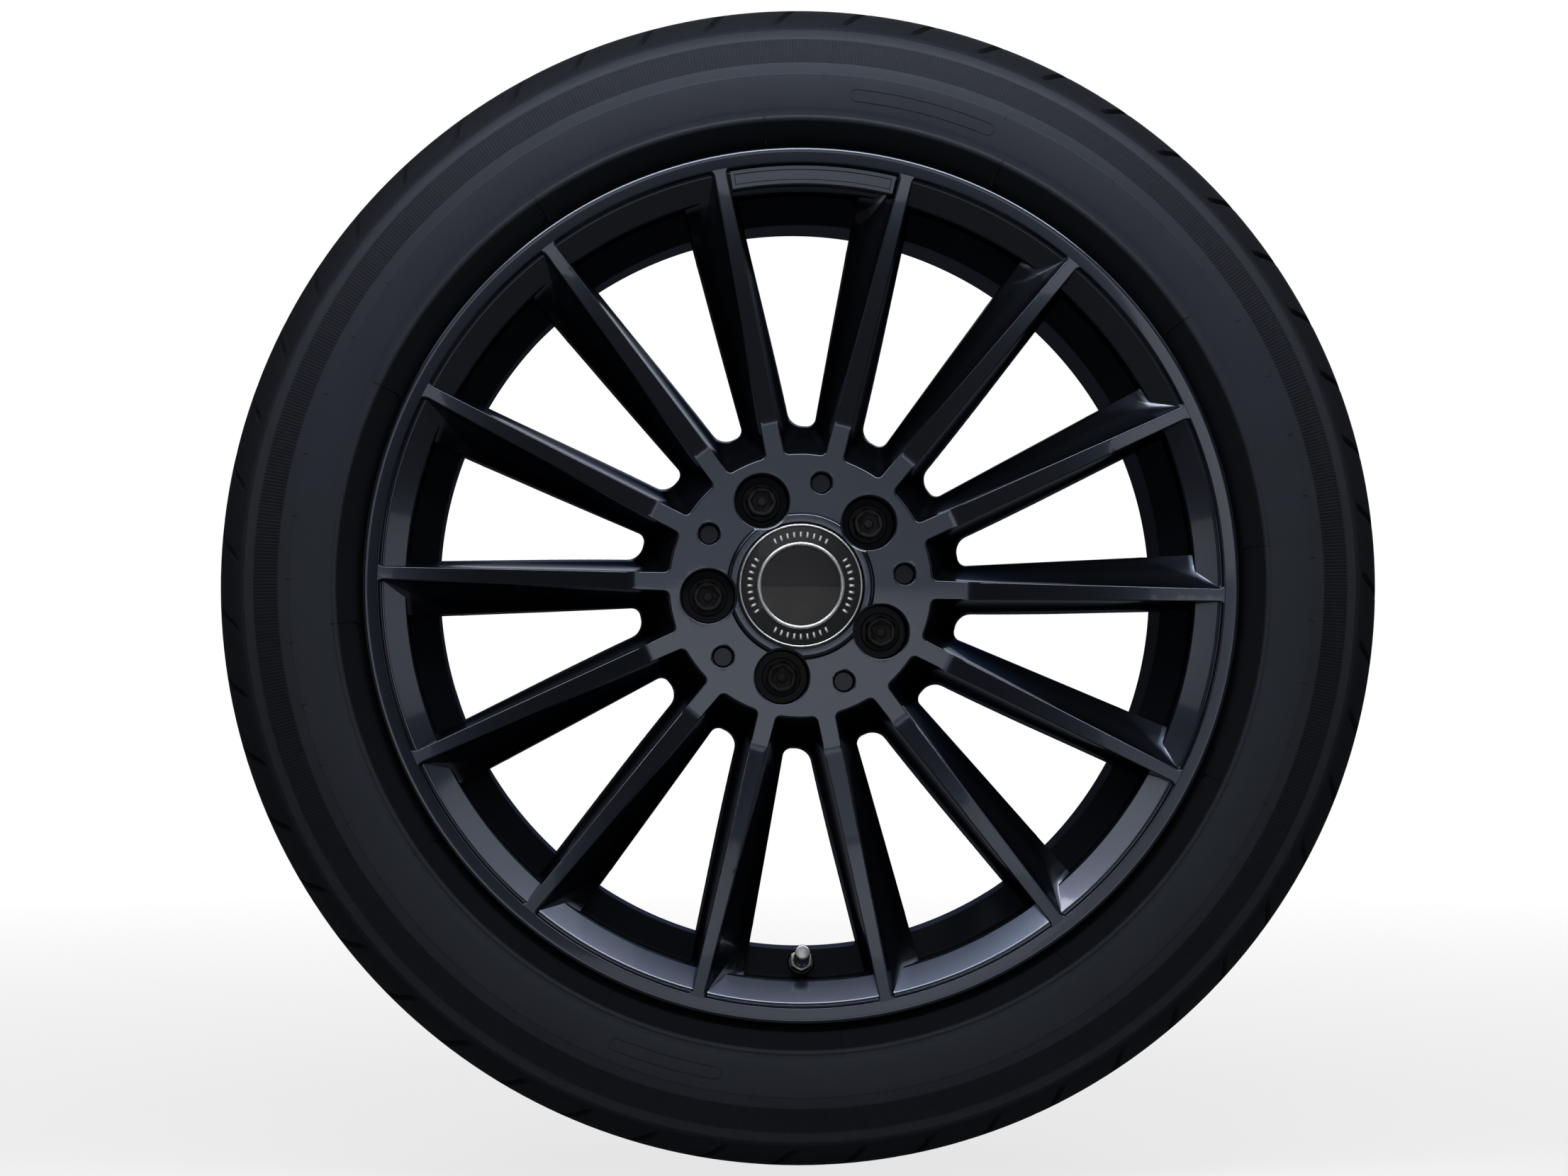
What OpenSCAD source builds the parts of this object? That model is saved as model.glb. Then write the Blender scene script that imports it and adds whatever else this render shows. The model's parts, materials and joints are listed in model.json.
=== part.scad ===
// Car wheel: a cast rim with fourteen slender spokes, its tyre, bolts, centre cap and valve.
// The axle lies along Y, the outer face looks towards -Y and Z is up.
// The origin is in the middle of the rim's width, on the axle.
// Angles are counter-clockwise as seen from the outer side, from +X.

/* [Rim] */
// Diameter of the bead seats
rim_d = 482.6; // [470:0.1:495]
// Width between the bead faces of the two flanges
rim_w = 203.2; // [196:0.1:210]
// Height of the flanges above the bead seats
flange_h = 17.5; // [16:0.1:19]
// How far each flange curls out past its bead face
flange_w = 13; // [12:0.1:14]
// Depth of the well below the bead seats
well_depth = 18; // [16:0.1:20]
// Length of the flat floor of the well
well_floor = 24; // [18:0.5:30]
// Wall of the barrel
barrel_wall = 6; // [5:0.1:8]
// Width of the flat band round the outer face
band_w = 7.2; // [5:0.1:9]

/* [Hub] */
// Distance from the rim's middle out to the mounting face
hub_offset = 43; // [38:0.5:48]
// Thickness of the hub from the mounting face to the outer face
hub_thick = 33; // [30:0.5:36]
// Diameter of the centre bore
bore_d = 66.6; // [60:0.1:68]
// Diameter of the mounting face
pad_d = 152; // [146:1:158]
// Diameter of the flat outer face of the hub
hub_flat_d = 202; // [196:1:208]
// Diameter of the raised collar round the centre cap
collar_d = 88.4; // [85:0.2:92]
// Height of the raised collar
collar_h = 3; // [2:0.1:4]
// Edge bevel of the hub face at the windows
hub_bevel = 2.4; // [1:0.1:3]
// Diameter of the blind holes between the bolts
blind_d = 12; // [8:0.5:14]
// Depth of the blind holes
blind_depth = 11; // [6:0.5:12]
// Distance of the blind holes from the axle
blind_r = 63.2; // [60:0.2:66]
// Depth of the hollows in the back of the hub
hub_hollow_depth = 10; // [4:0.5:12]

/* [Bolts] */
// Number of bolts
bolt_count = 5; // [4:1:5]
// Pitch circle of the bolts
bolt_pcd = 112; // [108:0.5:116]
// Diameter of the bolt shank
bolt_d = 14; // [12:0.5:14]
// Clearance hole for the bolt
bolt_hole_d = 16.4; // [14.6:0.1:17]
// Radius of the ball seat
ball_r = 14; // [13:0.5:15]
// Diameter of the bolt's collar
bolt_collar_d = 23.6; // [22:0.1:25]
// Thickness of the bolt's collar
bolt_collar_h = 2.5; // [2:0.1:3.5]
// Hexagon of the bolt head across its flats
bolt_af = 17; // [16:0.5:19]
// Height of the hexagon above the collar
bolt_head_h = 12; // [9:0.5:14]
// Hexagon socket in the bolt head across its flats
bolt_socket_af = 12.6; // [11:0.2:13]
// Length of the shank below the ball
bolt_len = 27; // [24:0.5:35]
// Diameter of the pocket round each bolt
pocket_d = 32.4; // [30:0.2:33]
// Depth from the hub face down to the top of the bolt's collar
pocket_depth = 19; // [16:0.5:20]
// Angle of the first bolt
bolt_angle = 114.5; // [100:0.5:130]

/* [Spokes] */
// Number of spokes
spoke_count = 14; // [12:1:14]
// Wide side of a spoke's face from its middle line, at the hub
face_wide_hub = 2.4; // [1:0.1:4]
// Wide side of a spoke's face from its middle line, at the band (negative is past the line)
face_wide_rim = -2.9; // [-4:0.1:-1]
// Steep side of a spoke's face from its middle line, at the hub
face_steep_hub = 8.4; // [7:0.1:10]
// Steep side of a spoke's face from its middle line, at the band
face_steep_rim = 10.2; // [9:0.1:11]
// Crease of the wide side from the middle line, at the hub
crease_hub = 10.8; // [9:0.1:12]
// Crease of the wide side from the middle line, at the band
crease_rim = 17.6; // [15:0.1:19]
// How much further out the wide side is at its back edge than at the crease
crease_flare = 2.2; // [1:0.1:3]
// Back edge of the steep side from the middle line, at the hub
back_steep_hub = 17.3; // [15:0.1:18]
// Back edge of the steep side from the middle line, at the band
back_steep_rim = 14.9; // [13:0.1:17]
// Depth of the crease below the spoke's face
crease_depth = 23; // [18:0.5:28]
// How much the spokes' faces crown outwards between hub and band
spoke_crown = 4; // [0:0.5:8]
// Back of the spokes from the rim's middle, at the hub
spoke_back_hub = 45; // [43.5:0.5:47]
// Back of the spokes from the rim's middle, at the barrel
spoke_back_rim = 58; // [54:0.5:62]
// Length of the scooped blend where a spoke's wide side meets the rim
scoop_len = 34; // [25:1:40]
// Reach of the scooped blend along the rim
scoop_reach = 10; // [6:0.5:12]
// Radius of the window corners at the face
window_r = 4; // [2:0.5:5]
// Inner end of the windows at the hub face, from the axle
window_in_face = 79; // [77:0.5:81]
// Inner end of the windows at their back, from the axle
window_in_back = 100.8; // [98:0.5:103]
// Width of the hollow in the back of each spoke
channel_w = 11; // [8:0.5:13]
// Metal left between the hollow and the face of the spoke
channel_web = 23; // [20:0.5:28]

/* [Tyre] */
// Section width of the tyre
tyre_w = 245; // [240:0.5:250]
// Section height of the tyre, bead seat to tread
tyre_h = 110.2; // [106:0.2:114]
// Wall of the tyre's sides
side_wall = 9.5; // [8:0.5:12]
// Thickness of the tread with its belts
tread_wall = 15; // [13:0.5:18]
// Gap between the tyre's beads and the rim
bead_gap = 0.1; // [0.05:0.05:0.3]
// Depth of the tread grooves
groove_depth = 7.5; // [4:0.5:8]
// Width of the four long grooves
groove_w = 9.5; // [7:0.5:11]
// Distance of the inner long grooves from the middle
groove_in = 23; // [18:0.5:27]
// Distance of the outer long grooves from the middle
groove_out = 58; // [52:0.5:62]
// Number of cross grooves on each shoulder
shoulder_grooves = 51; // [36:1:60]
// Width of the cross grooves
shoulder_groove_w = 4.4; // [3:0.2:6]

/* [Centre cap] */
// Diameter of the cap
cap_d = 75; // [73:0.1:77]
// Gap round the cap in its recess
cap_gap = 0.3; // [0.2:0.05:0.5]
// Depth of the cap's recess below the collar's top
cap_recess = 7; // [6:0.1:9]
// Outer diameter of the outer silver ring
outer_ring_d = 74.4; // [72:0.1:74.6]
// Width of the outer silver ring
outer_ring_w = 1.4; // [1:0.1:2]
// Outer diameter of the inner silver ring
inner_ring_d = 52.6; // [48:0.1:56]
// Width of the inner silver ring
inner_ring_w = 2.5; // [2:0.1:4]
// Diameter of the neck that the clips pass
neck_d = 68.4; // [67:0.1:70]
// Length of the neck
neck_len = 6; // [5:0.1:8]
// Diameter of the groove that the clips snap into
snap_d = 73; // [71:0.1:75]
// Length of the groove
snap_len = 7; // [6:0.1:9]
// Number of clips
clip_count = 6; // [4:1:8]

/* [Valve] */
// Distance of the valve from the axle, at the barrel wall
valve_r = 226; // [224:0.1:228]
// Tilt of the valve towards the axle
valve_tilt = 16; // [12:0.5:20]
// Wall left between the two faces at the valve hole
valve_wall = 4.6; // [4:0.1:5.5]
// Valve hole in the barrel
valve_hole_d = 11.5; // [11:0.1:12.5]
// Diameter of the stem in the hole
stem_d = 9; // [8.6:0.1:9.4]
// Thread diameter at the stem's tip
stem_tip_d = 7.7; // [7:0.1:8]
// Length of the stem from the nut's seat to its tip
stem_len = 30; // [26:0.5:36]
// Hexagon of the valve nut across its flats
valve_nut_af = 12; // [11:0.1:13]
// Height of the valve nut
valve_nut_h = 7; // [5:0.5:9]
// Diameter of the washer and of the grommet's flange
valve_washer_d = 14.6; // [13.5:0.1:15.5]
// Thickness of the washer
valve_washer_h = 1.4; // [1:0.1:2]
// Diameter of the valve cap
valve_cap_d = 9.2; // [9:0.1:10.5]
// Length of the valve cap
valve_cap_len = 13; // [11:0.5:15]
// Gap between the valve cap and the stem's tip, all round
valve_cap_gap = 0.1; // [0.05:0.05:0.2]
// Diameter of the hole down the stem
stem_bore_d = 3.2; // [2.8:0.1:3.6]
// Diameter of the seat for the insert in the stem
core_d = 5.2; // [4.8:0.1:5.4]
// Length of the insert's brass body
core_len = 10; // [8:0.5:12]
// Diameter of the insert's pin
pin_d = 1.2; // [1:0.1:1.4]
// How far the pin travels
pin_travel = 1.2; // [0.8:0.1:1.6]

/* [Pressure sensor] */
// Length of the sensor along the rim
sensor_l = 42; // [36:1:50]
// Height of the sensor above the well
sensor_h = 14; // [11:0.5:16]
// Width of the sensor across the rim
sensor_w = 22; // [18:0.5:26]

/* [Balance weights] */
// Number of weight blocks
weight_count = 5; // [2:1:8]
// Length of each block along the barrel
weight_l = 15; // [10:0.5:20]
// Width of the blocks
weight_w = 18; // [14:0.5:22]
// Thickness of the blocks
weight_t = 3.4; // [2:0.1:5]
// Thickness of the tape under the blocks
tape_t = 0.8; // [0.5:0.1:1.5]
// Distance of the weights from the rim's middle
weight_y = 62; // [56:1:66]
// Angle of the middle of the weights
weight_angle = 206; // [0:1:360]

/* [Hidden] */
round_fn = 180;
small_fn = 48;
face_steps = 5;
tiny = 0.01;
flat_enough = 0.000001;

// Rim: the radii and places that everything else is set out from
seat_r = rim_d / 2;
flange_r = seat_r + flange_h;
well_r = seat_r - well_depth;
bead_y = rim_w / 2;
lip_y = bead_y + flange_w;
flange_curl_r = 9.5;
curl_mid_r = flange_r - flange_curl_r;
curl_mid_y = bead_y + flange_curl_r;
bead_fillet = 6.5;
edge_r = seat_r - barrel_wall - 1.3;
edge_y = -(bead_y - 2.6);
band_out_r = flange_r - 1.8;
band_in_r = band_out_r - band_w;
band_in_y = -(lip_y - 1.6);
band_out_y = -(lip_y - 0.2);
ledge_drop = 2.6;
ledge_in = 3;
slope_top_r = band_in_r - ledge_in;
slope_top_y = band_in_y + ledge_drop;
hump_y = bead_y - 22;
well_side_run = 5.5;
well_top_y = -(hump_y - 2.8);
well_start_y = well_top_y + well_side_run;
well_end_y = well_start_y + well_floor;
leg_r = seat_r - 5.4;
leg_start_y = well_end_y + 20;
leg_end_y = hump_y - 7;
leg_in_r = leg_r - barrel_wall;
well_in_r = well_r - barrel_wall;
rear_in_r = seat_r - barrel_wall - 0.6;

// Hub
mount_y = -hub_offset;
hub_y = -(hub_offset + hub_thick);
hub_flat_r = hub_flat_d / 2;
collar_r = collar_d / 2;
collar_round = 2.6;
collar_y = hub_y - collar_h;
pitch = 360 / spoke_count;
bolt_r = bolt_pcd / 2;
bolt_step = 360 / bolt_count;
bolt_y = hub_y + pocket_depth;
seat_floor = bolt_collar_h + 0.5;
ball_rise = sqrt(ball_r * ball_r - bolt_collar_d * bolt_collar_d / 4) - bolt_collar_h;

// Cap
cap_r = cap_d / 2;
recess_r = cap_r + cap_gap;
recess_y = collar_y + cap_recess;
neck_y = recess_y + neck_len;
snap_y = neck_y + snap_len;
cap_wall = 2.4;
cap_face_y = collar_y - 0.6;
badge_y = cap_face_y - 0.5;
clip_r = neck_d / 2 - 0.4;
clip_wall = 1.8;
clip_hook = 1.3;
ring_wire = 1.8;

// Valve, from its seat on the barrel outwards
valve_mid_y = (well_top_y + (seat_r - 1.8 - valve_r) / (seat_r - 1.8 - well_r) * well_side_run) - 3.3;
nut_seat = valve_wall / 2;
nut_base = nut_seat + valve_washer_h;
stem_tip = nut_seat + stem_len;
tip_len = 15;
core_drop = 1.6;
core_top = stem_tip - core_drop;
core_base = core_top - core_len;
foot_h = 5.6;
seal_h = 2.2;
foot_top = -nut_seat - seal_h;
foot_base = foot_top - foot_h;
cap_in_r = stem_tip_d / 2 + valve_cap_gap;
cap_seal_h = 1;
cap_top_wall = 1.2;
valve_cap_top = stem_tip + 0.15 + cap_seal_h + cap_top_wall;
valve_cap_base = valve_cap_top - valve_cap_len;
pin_cup_d = 2.8;
pin_cup_h = 1.6;
spring_wire = 0.3;
spring_r = 0.95;
spring_turns = 6;
core_bore_d = 2.6;
screw_d = 2.9;
screw_head_d = 5.4;
screw_depth = 3.4;

// Tyre
tyre_r = seat_r + tyre_h;
side_y = tyre_w / 2;

function mix(a, b, t) = a + (b - a) * t;
function arc(cr, cy, r, a0, a1, n) = [for (i = [0:n]) let(a = mix(a0, a1, i / n)) [cr + r * cos(a),
    cy + r * sin(a)]];
function flip(p) = [for (i = [len(p) - 1:-1:0]) [p[i][0], -p[i][1]]];
function hex_r(across) = across / 2 / cos(30);

// Turns a profile of [radius, place along the axle] round the axle
module turned(profile, fn = round_fn) {
    rotate([-90, 0, 0]) rotate_extrude($fn = fn) polygon(profile);
}

// Carries what is modelled on +X to an angle round the axle
module at_angle(a) {
    rotate([0, -a, 0]) children();
}

// The outer face of the disc at radius r: flat at the hub, then a crowned rise out to the band
function rise(r) = max(0, min(1, (r - hub_flat_r) / (band_in_r - hub_flat_r)));
function front_y(r) = mix(hub_y, band_in_y, rise(r)) - 4 * spoke_crown * rise(r) * (1 - rise(r));

// Half-widths of a spoke about its middle line at radius r
function along(r) = (r - hub_flat_r) / (band_in_r - hub_flat_r);
function wide_face(r) = mix(face_wide_hub, face_wide_rim, along(r));
function wide_crease(r) = mix(crease_hub, crease_rim, along(r));
function steep_face(r) = mix(face_steep_hub, face_steep_rim, along(r));
function steep_back(r) = mix(back_steep_hub, back_steep_rim, along(r));

// A window's section: its low side lies on one spoke's wide side and its high side on the next spoke's
// steep side. w and s say how far down each side the section is, 0 at the face.
function low(r, w) = -pitch / 2 + asin(mix(wide_face(r), wide_crease(r), w) / r);
function high(r, s) = pitch / 2 - asin(mix(steep_face(r), steep_back(r), s) / r);
function deg_at(r, length) = length / r * 180 / PI;

// Places along a spoke where every section has a point
stations = [for (t = [0.012, 0.23, 0.44, 0.65]) mix(hub_flat_r, band_in_r, t)];
function past(r, limit, step) = max(r, limit + step);

// ro and ri are the ends of the section, rs the outer corner on the steep side, rl and rh the inner corners
function section(ro, ri, w, s, scoop, reach, rs, rl, rh) = concat(
    [for (a = [90, 45, 0]) let(r = ri + rl - rl * sin(a)) [r, low(r, w) + deg_at(r, rl * (1 - cos(a)))]],
    [for (i = [0:3]) let(r = past(stations[i], ri + rl, 2 * i + 2)) [r, low(r, w)]],
    [for (a = [0, 24, 46, 68, 90]) let(r = ro - scoop + scoop * sin(a)) [r, low(r, w) + deg_at(r,
        reach * (1 - cos(a)))]],
    [for (i = [1:3]) [ro, mix(low(ro, w) + deg_at(ro, reach), high(ro, s) - deg_at(ro, rs), i / 4)]],
    [for (a = [90, 45, 0]) let(r = ro - rs + rs * sin(a)) [r, high(r, s) - deg_at(r, rs * (1 - cos(a)))]],
    [for (i = [3:-1:0]) let(r = past(stations[i], ri + rh, 2 * i + 2)) [r, high(r, s)]],
    [for (a = [0, 45, 90]) let(r = ri + rh - rh * sin(a)) [r, high(r, s) - deg_at(r, rh * (1 - cos(a)))]],
    [[ri, (high(ri, s) - deg_at(ri, rh) + low(ri, w) + deg_at(ri, rl)) / 2]]
);

// Places a section's points: sunk below the disc's face, or level where flat is given
function placed(points, sunk, flat = undef) = [for (p = points)
    [p[0] * cos(p[1]), is_undef(flat) ? front_y(p[0]) + sunk : flat, p[0] * sin(p[1])]];
function middle(points) = [for (k = [0:2]) let(v = [for (p = points) p[k]]) (min(v) + max(v)) / 2];

// A solid through a list of rings with equally many points; flat sides stay whole
module loft(rings) {
    n = len(rings[0]);
    m = len(rings);
    points = [for (ring = rings) each ring];
    sides = [for (k = [0:m - 2], i = [0:n - 1]) let(j = (i + 1) % n, a = k * n + i, b = k * n + j,
        across = cross(points[b] - points[a], points[a + n] - points[a]),
        off = across * (points[b + n] - points[a]) / max(norm(across), tiny))
        each abs(off) < flat_enough ? [[a, b, b + n, a + n]] : [[a, b, b + n], [a, b + n, a + n]]];
    front = [for (i = [0:n - 1]) [m * n, (i + 1) % n, i]];
    back = [for (i = [0:n - 1]) [m * n + 1, (m - 1) * n + i, (m - 1) * n + (i + 1) % n]];
    polyhedron(concat(points, [middle(rings[0]), middle(rings[m - 1])]), concat(sides, front, back));
}

clear_front = -(lip_y + 20);
clear_back = -(hub_offset - 20);
above_face = 0.3;
bevel_in = window_in_face + hub_bevel;
back_s = crease_depth / (-spoke_back_hub - hub_y);
crease_in = mix(bevel_in, window_in_back, back_s);
back_w = 1 + crease_flare / (crease_rim - face_wide_rim);

// The drafted pocket of a window, with the scoop growing down its outer low corner
module window_pocket() {
    face = section(band_in_r + 0.5, window_in_face, 0, 0, window_r, window_r, window_r, 3, 3);
    mouth = section(band_in_r + 0.5, bevel_in, 0.05, 0.03, window_r + 2, window_r, window_r, 3, 3);
    edge = section(edge_r + 1.6, mix(bevel_in, crease_in, 0.5), 0.54, 0.32, scoop_len * 0.42,
        scoop_reach * 0.7, 3, 4, 5);
    crease = section(edge_r + 0.6, crease_in, 1, back_s, scoop_len, scoop_reach, 3, 4.5, 7);
    bottom = section(edge_r + 0.7, window_in_back + 1, back_w, 1.25, scoop_len, scoop_reach, 3, 5, 9);
    loft([placed(face, 0, clear_front), placed(face, -above_face), placed(mouth, hub_bevel),
        placed(edge, edge_y - band_in_y),
        placed(crease, crease_depth), placed(bottom, 0, clear_back)]);
}

// What trims the scoop along the line of the crease, straight through the disc
module scoop_trim() {
    r0 = edge_r - scoop_len - 10;
    r1 = edge_r - scoop_len * 0.8;
    r2 = edge_r + 1.7;
    function outline(w) = [[r0, low(r0, w) + deg_at(r0, 1)], [r1, low(r1, w) - deg_at(r1, 0.05)],
        [r2, low(r2, w) - deg_at(r2, 0.05)], [r2 + 0.1, low(r2, w) + deg_at(r2, scoop_reach + 4)],
        [r1, low(r1, w) + deg_at(r1, scoop_reach + 4)]];
    loft([placed(outline(1), 0, clear_front + 1), placed(outline(1), crease_depth),
        placed(outline(back_w), 0, clear_back + 1)]);
}

// The hub and spokes before the windows are cut, down to the inside of the barrel's wall
module disc_blank() {
    rim_side = [[band_in_r + 1, band_in_y + 0.6], [band_in_r - 1.4, -bead_y - 5.4], [edge_r + 9,
        -bead_y - 0.8],
        [edge_r + 3.4, -bead_y + 4], [edge_r + 3, well_top_y - 6], [well_r + 6, well_top_y - 1],
        [well_r - 1.4, well_top_y + 3], [well_r - 3, well_start_y + 6], [well_r - 3, -spoke_back_rim]];
    back = [[hub_flat_r + 55, -mix(spoke_back_hub, spoke_back_rim, 0.28)], [hub_flat_r, -spoke_back_hub],
        [pad_d / 2 + 3, -spoke_back_hub], [pad_d / 2, mount_y], [0, mount_y]];
    front = [for (i = [0:face_steps]) let(r = mix(hub_flat_r, band_in_r, i / face_steps)) [r, front_y(r)]];
    turned(concat([[0, hub_y]], front, rim_side, back));
}

// The barrel with both flanges, bead seats, humps and well, and the sloped face inside the outer band
module barrel() {
    outer_half = concat([[band_in_r, band_in_y], [band_out_r, band_out_y], [flange_r - 0.4,
        band_out_y + 0.9],
        [flange_r, -(lip_y - 2)]],
        arc(curl_mid_r, -curl_mid_y, flange_curl_r, 0, 90, 8),
        arc(seat_r + bead_fillet, -(bead_y - bead_fillet), bead_fillet, 270, 180, 5),
        [[seat_r - 0.6, -(hump_y + 4)], [seat_r + 0.8, -(hump_y + 1)], [seat_r + 0.8, -(hump_y - 0.6)],
        [seat_r - 1.8, well_top_y], [well_r + 2, well_start_y - 1.4], [well_r, well_start_y + 1]]);
    inner_half = concat([[well_r, well_end_y], [leg_r, leg_start_y], [leg_r, leg_end_y], [seat_r + 0.8,
        hump_y - 1],
        [seat_r + 0.8, hump_y + 1], [seat_r - 0.6, hump_y + 4]],
        arc(seat_r + bead_fillet, bead_y - bead_fillet, bead_fillet, 180, 90, 5),
        arc(curl_mid_r, curl_mid_y, flange_curl_r, 270, 360, 8),
        [[flange_r, lip_y - 1.6], [flange_r - 1, lip_y - 0.4], [flange_r - 3, lip_y]]);
    side_in = mix(0, well_side_run, (edge_r - well_in_r) / (seat_r - well_r));
    inside = [[flange_r - 6.5, lip_y - 1], [curl_mid_r - 4.6, bead_y + 6], [rear_in_r, bead_y - 6],
        [rear_in_r, hump_y - 1], [leg_in_r, leg_end_y - 2], [leg_in_r, leg_start_y - 2],
        [well_in_r, well_end_y - 3], [well_in_r, well_start_y - barrel_wall + 1.4],
        [edge_r, well_start_y - barrel_wall + 1.4 - side_in], [edge_r, edge_y],
        [slope_top_r, slope_top_y], [slope_top_r + 0.7, slope_top_y + 0.5], [slope_top_r + 1.6,
            slope_top_y],
        [band_in_r - 0.6, band_in_y + 1.1]];
    turned(concat(outer_half, inner_half, inside));
}

// The raised collar round the centre cap
module cap_collar() {
    turned(concat([[recess_r - 2, hub_y + 4], [collar_r, hub_y + 4], [collar_r,
        hub_y - collar_h + collar_round]],
        arc(collar_r - collar_round, collar_y + collar_round, collar_round, 0, -90, 6),
        [[recess_r - 2, collar_y]]));
}

// Blank plate across the outer end of the top window
module plate() {
    plate_top = slope_top_r + 1;
    plate_low = edge_r + 2.6;
    start = low(edge_r, 0) + deg_at(edge_r, 2);
    turn = high(edge_r, 0) - deg_at(edge_r, 1.6) - start;
    face = band_in_y + 2.4;
    rotate([-90, 0, 0]) rotate([0, 0, -90 - start - turn]) rotate_extrude(angle = turn, $fn = round_fn)
        polygon([[plate_low, face + 0.8], [plate_low + 0.8, face], [plate_top, face], [plate_top,
            edge_y - 5],
            [plate_low + 1, edge_y - 1], [plate_low, edge_y - 2]]);
}

// What is cut away for the ball seat, pocket and hole of one bolt
module bolt_cut() {
    ball_low = ball_rise - sqrt(ball_r * ball_r - bolt_hole_d * bolt_hole_d / 4);
    floor_angle = asin((ball_rise + seat_floor) / ball_r);
    hole_angle = acos(bolt_hole_d / 2 / ball_r);
    wide_r = pocket_d / 2 + 1.2;
    over = pocket_depth + collar_h + 5;
    rotate_extrude($fn = small_fn) polygon(concat([[0, over], [wide_r, over], [wide_r, pocket_depth + 0.2],
        [pocket_d / 2, pocket_depth - 1], [pocket_d / 2, -seat_floor]],
        arc(0, ball_rise, ball_r, -floor_angle, -hole_angle, 6),
        [[bolt_hole_d / 2, ball_low - 20], [0, ball_low - 20]]));
}

// A bolt with its origin in the top of its collar, its head towards +Z
module wheel_bolt() {
    ball_low = ball_rise - sqrt(ball_r * ball_r - bolt_d * bolt_d / 4);
    collar_angle = asin((ball_rise + bolt_collar_h) / ball_r);
    shank_angle = acos(bolt_d / 2 / ball_r);
    socket_depth = 6;
    color([0.12, 0.12, 0.13]) difference() {
        union() {
            rotate_extrude($fn = small_fn) polygon(concat([[0, 0], [bolt_collar_d / 2 - 0.5, 0],
                [bolt_collar_d / 2, -0.5], [bolt_collar_d / 2, -bolt_collar_h]],
                arc(0, ball_rise, ball_r, -collar_angle, -shank_angle, 6),
                [[bolt_d / 2, ball_low - bolt_len + 2], [bolt_d / 2 - 2, ball_low - bolt_len], [0,
                    ball_low - bolt_len]]));
            intersection() {
                translate([0, 0, -tiny]) cylinder(r = hex_r(bolt_af), h = bolt_head_h + tiny, $fn = 6);
                rotate_extrude($fn = small_fn) polygon([[0, -1], [hex_r(bolt_af) + 1, -1],
                    [hex_r(bolt_af) + 1, bolt_head_h - 2.4], [bolt_af / 2 - 0.4, bolt_head_h], [0,
                        bolt_head_h]]);
            }
        }
        difference() {
            translate([0, 0, bolt_head_h - socket_depth]) cylinder(r = hex_r(bolt_socket_af),
                h = socket_depth + 1, $fn = 6);
            cylinder(d = 5.6, h = bolt_head_h - 2.5, $fn = small_fn);
        }
    }
}

module at_bolt(i) {
    at_angle(bolt_angle - bolt_step * i) translate([bolt_r, bolt_y, 0]) rotate([90, 0, 0]) children();
}

// A rectangle from x0 to x1, centred across, with its corners cut off
module trimmed(x0, x1, width, corner) {
    h = width / 2;
    polygon([[x0 + corner, -h], [x1 - corner, -h], [x1, corner - h], [x1, h - corner],
        [x1 - corner, h], [x0 + corner, h], [x0, h - corner], [x0, corner - h]]);
}

// A hollow in the back of the hub between two bolts
module hub_hollow() {
    translate([0, mount_y + 1, 0]) rotate([90, 0, 0]) linear_extrude(hub_hollow_depth + 1)
        trimmed(bolt_r - 2, pad_d / 2 - 7, 28, 7);
}

// The hollow in the back of a spoke, its floor parallel to the spoke's face
module spoke_channel() {
    r0 = hub_flat_r + 10;
    r1 = well_in_r - 8;
    fall = atan((front_y(r1) - front_y(r0)) / (r1 - r0));
    mid = 3.2;
    translate([r0, front_y(r0) + channel_web, -mid]) rotate([0, 0, fall]) rotate([-90, 0, 0])
        linear_extrude(60) trimmed(0, r1 - r0, channel_w, 3.5);
}

// Local axes of the valve: +Z runs out along its stem, the origin is inside the barrel's wall
module at_valve() {
    at_angle(270) translate([valve_r, valve_mid_y, 0]) rotate([0, 0, -valve_tilt]) rotate([90, 0,
        0]) children();
}

module valve_cut() {
    translate([0, 0, -30]) cylinder(d = valve_hole_d, h = 60, $fn = small_fn);
    translate([0, 0, nut_seat]) cylinder(d = valve_washer_d + 1.6, h = 12, $fn = small_fn);
    translate([0, 0, -nut_seat - 9]) cylinder(d = valve_washer_d + 2, h = 9, $fn = small_fn);
}

module rim() {
    color([0.055, 0.06, 0.075]) difference() {
        union() {
            barrel();
            difference() {
                disc_blank();
                for (k = [0:spoke_count - 1]) at_angle(90 + k * pitch) {
                    window_pocket();
                    scoop_trim();
                }
            }
            cap_collar();
            plate();
        }
        turned([[0, collar_y - 5], [recess_r + 0.6, collar_y - 5], [recess_r + 0.6, collar_y],
            [recess_r, collar_y + 0.6],
            [recess_r, recess_y], [neck_d / 2, recess_y], [neck_d / 2, neck_y], [snap_d / 2, neck_y],
            [snap_d / 2, snap_y], [bore_d / 2, snap_y + 2], [bore_d / 2, mount_y - 1.5],
            [bore_d / 2 + 1.5, mount_y], [bore_d / 2 + 1.5, mount_y + 5], [0, mount_y + 5]]);
        for (i = [0:bolt_count - 1]) at_bolt(i) bolt_cut();
        for (i = [0:bolt_count - 1]) at_angle(bolt_angle - bolt_step * (i + 0.5)) {
            translate([blind_r, hub_y - 1, 0]) rotate([-90, 0, 0]) cylinder(d = blind_d,
                h = blind_depth + 1, $fn = small_fn);
            translate([blind_r, hub_y - 1, 0]) rotate([-90, 0, 0])
                cylinder(d1 = blind_d + 3.6, d2 = blind_d, h = 1.8, $fn = small_fn);
            hub_hollow();
        }
        for (k = [0:spoke_count - 1]) at_angle(90 + (k + 0.5) * pitch) spoke_channel();
        at_valve() valve_cut();
    }
}

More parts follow.
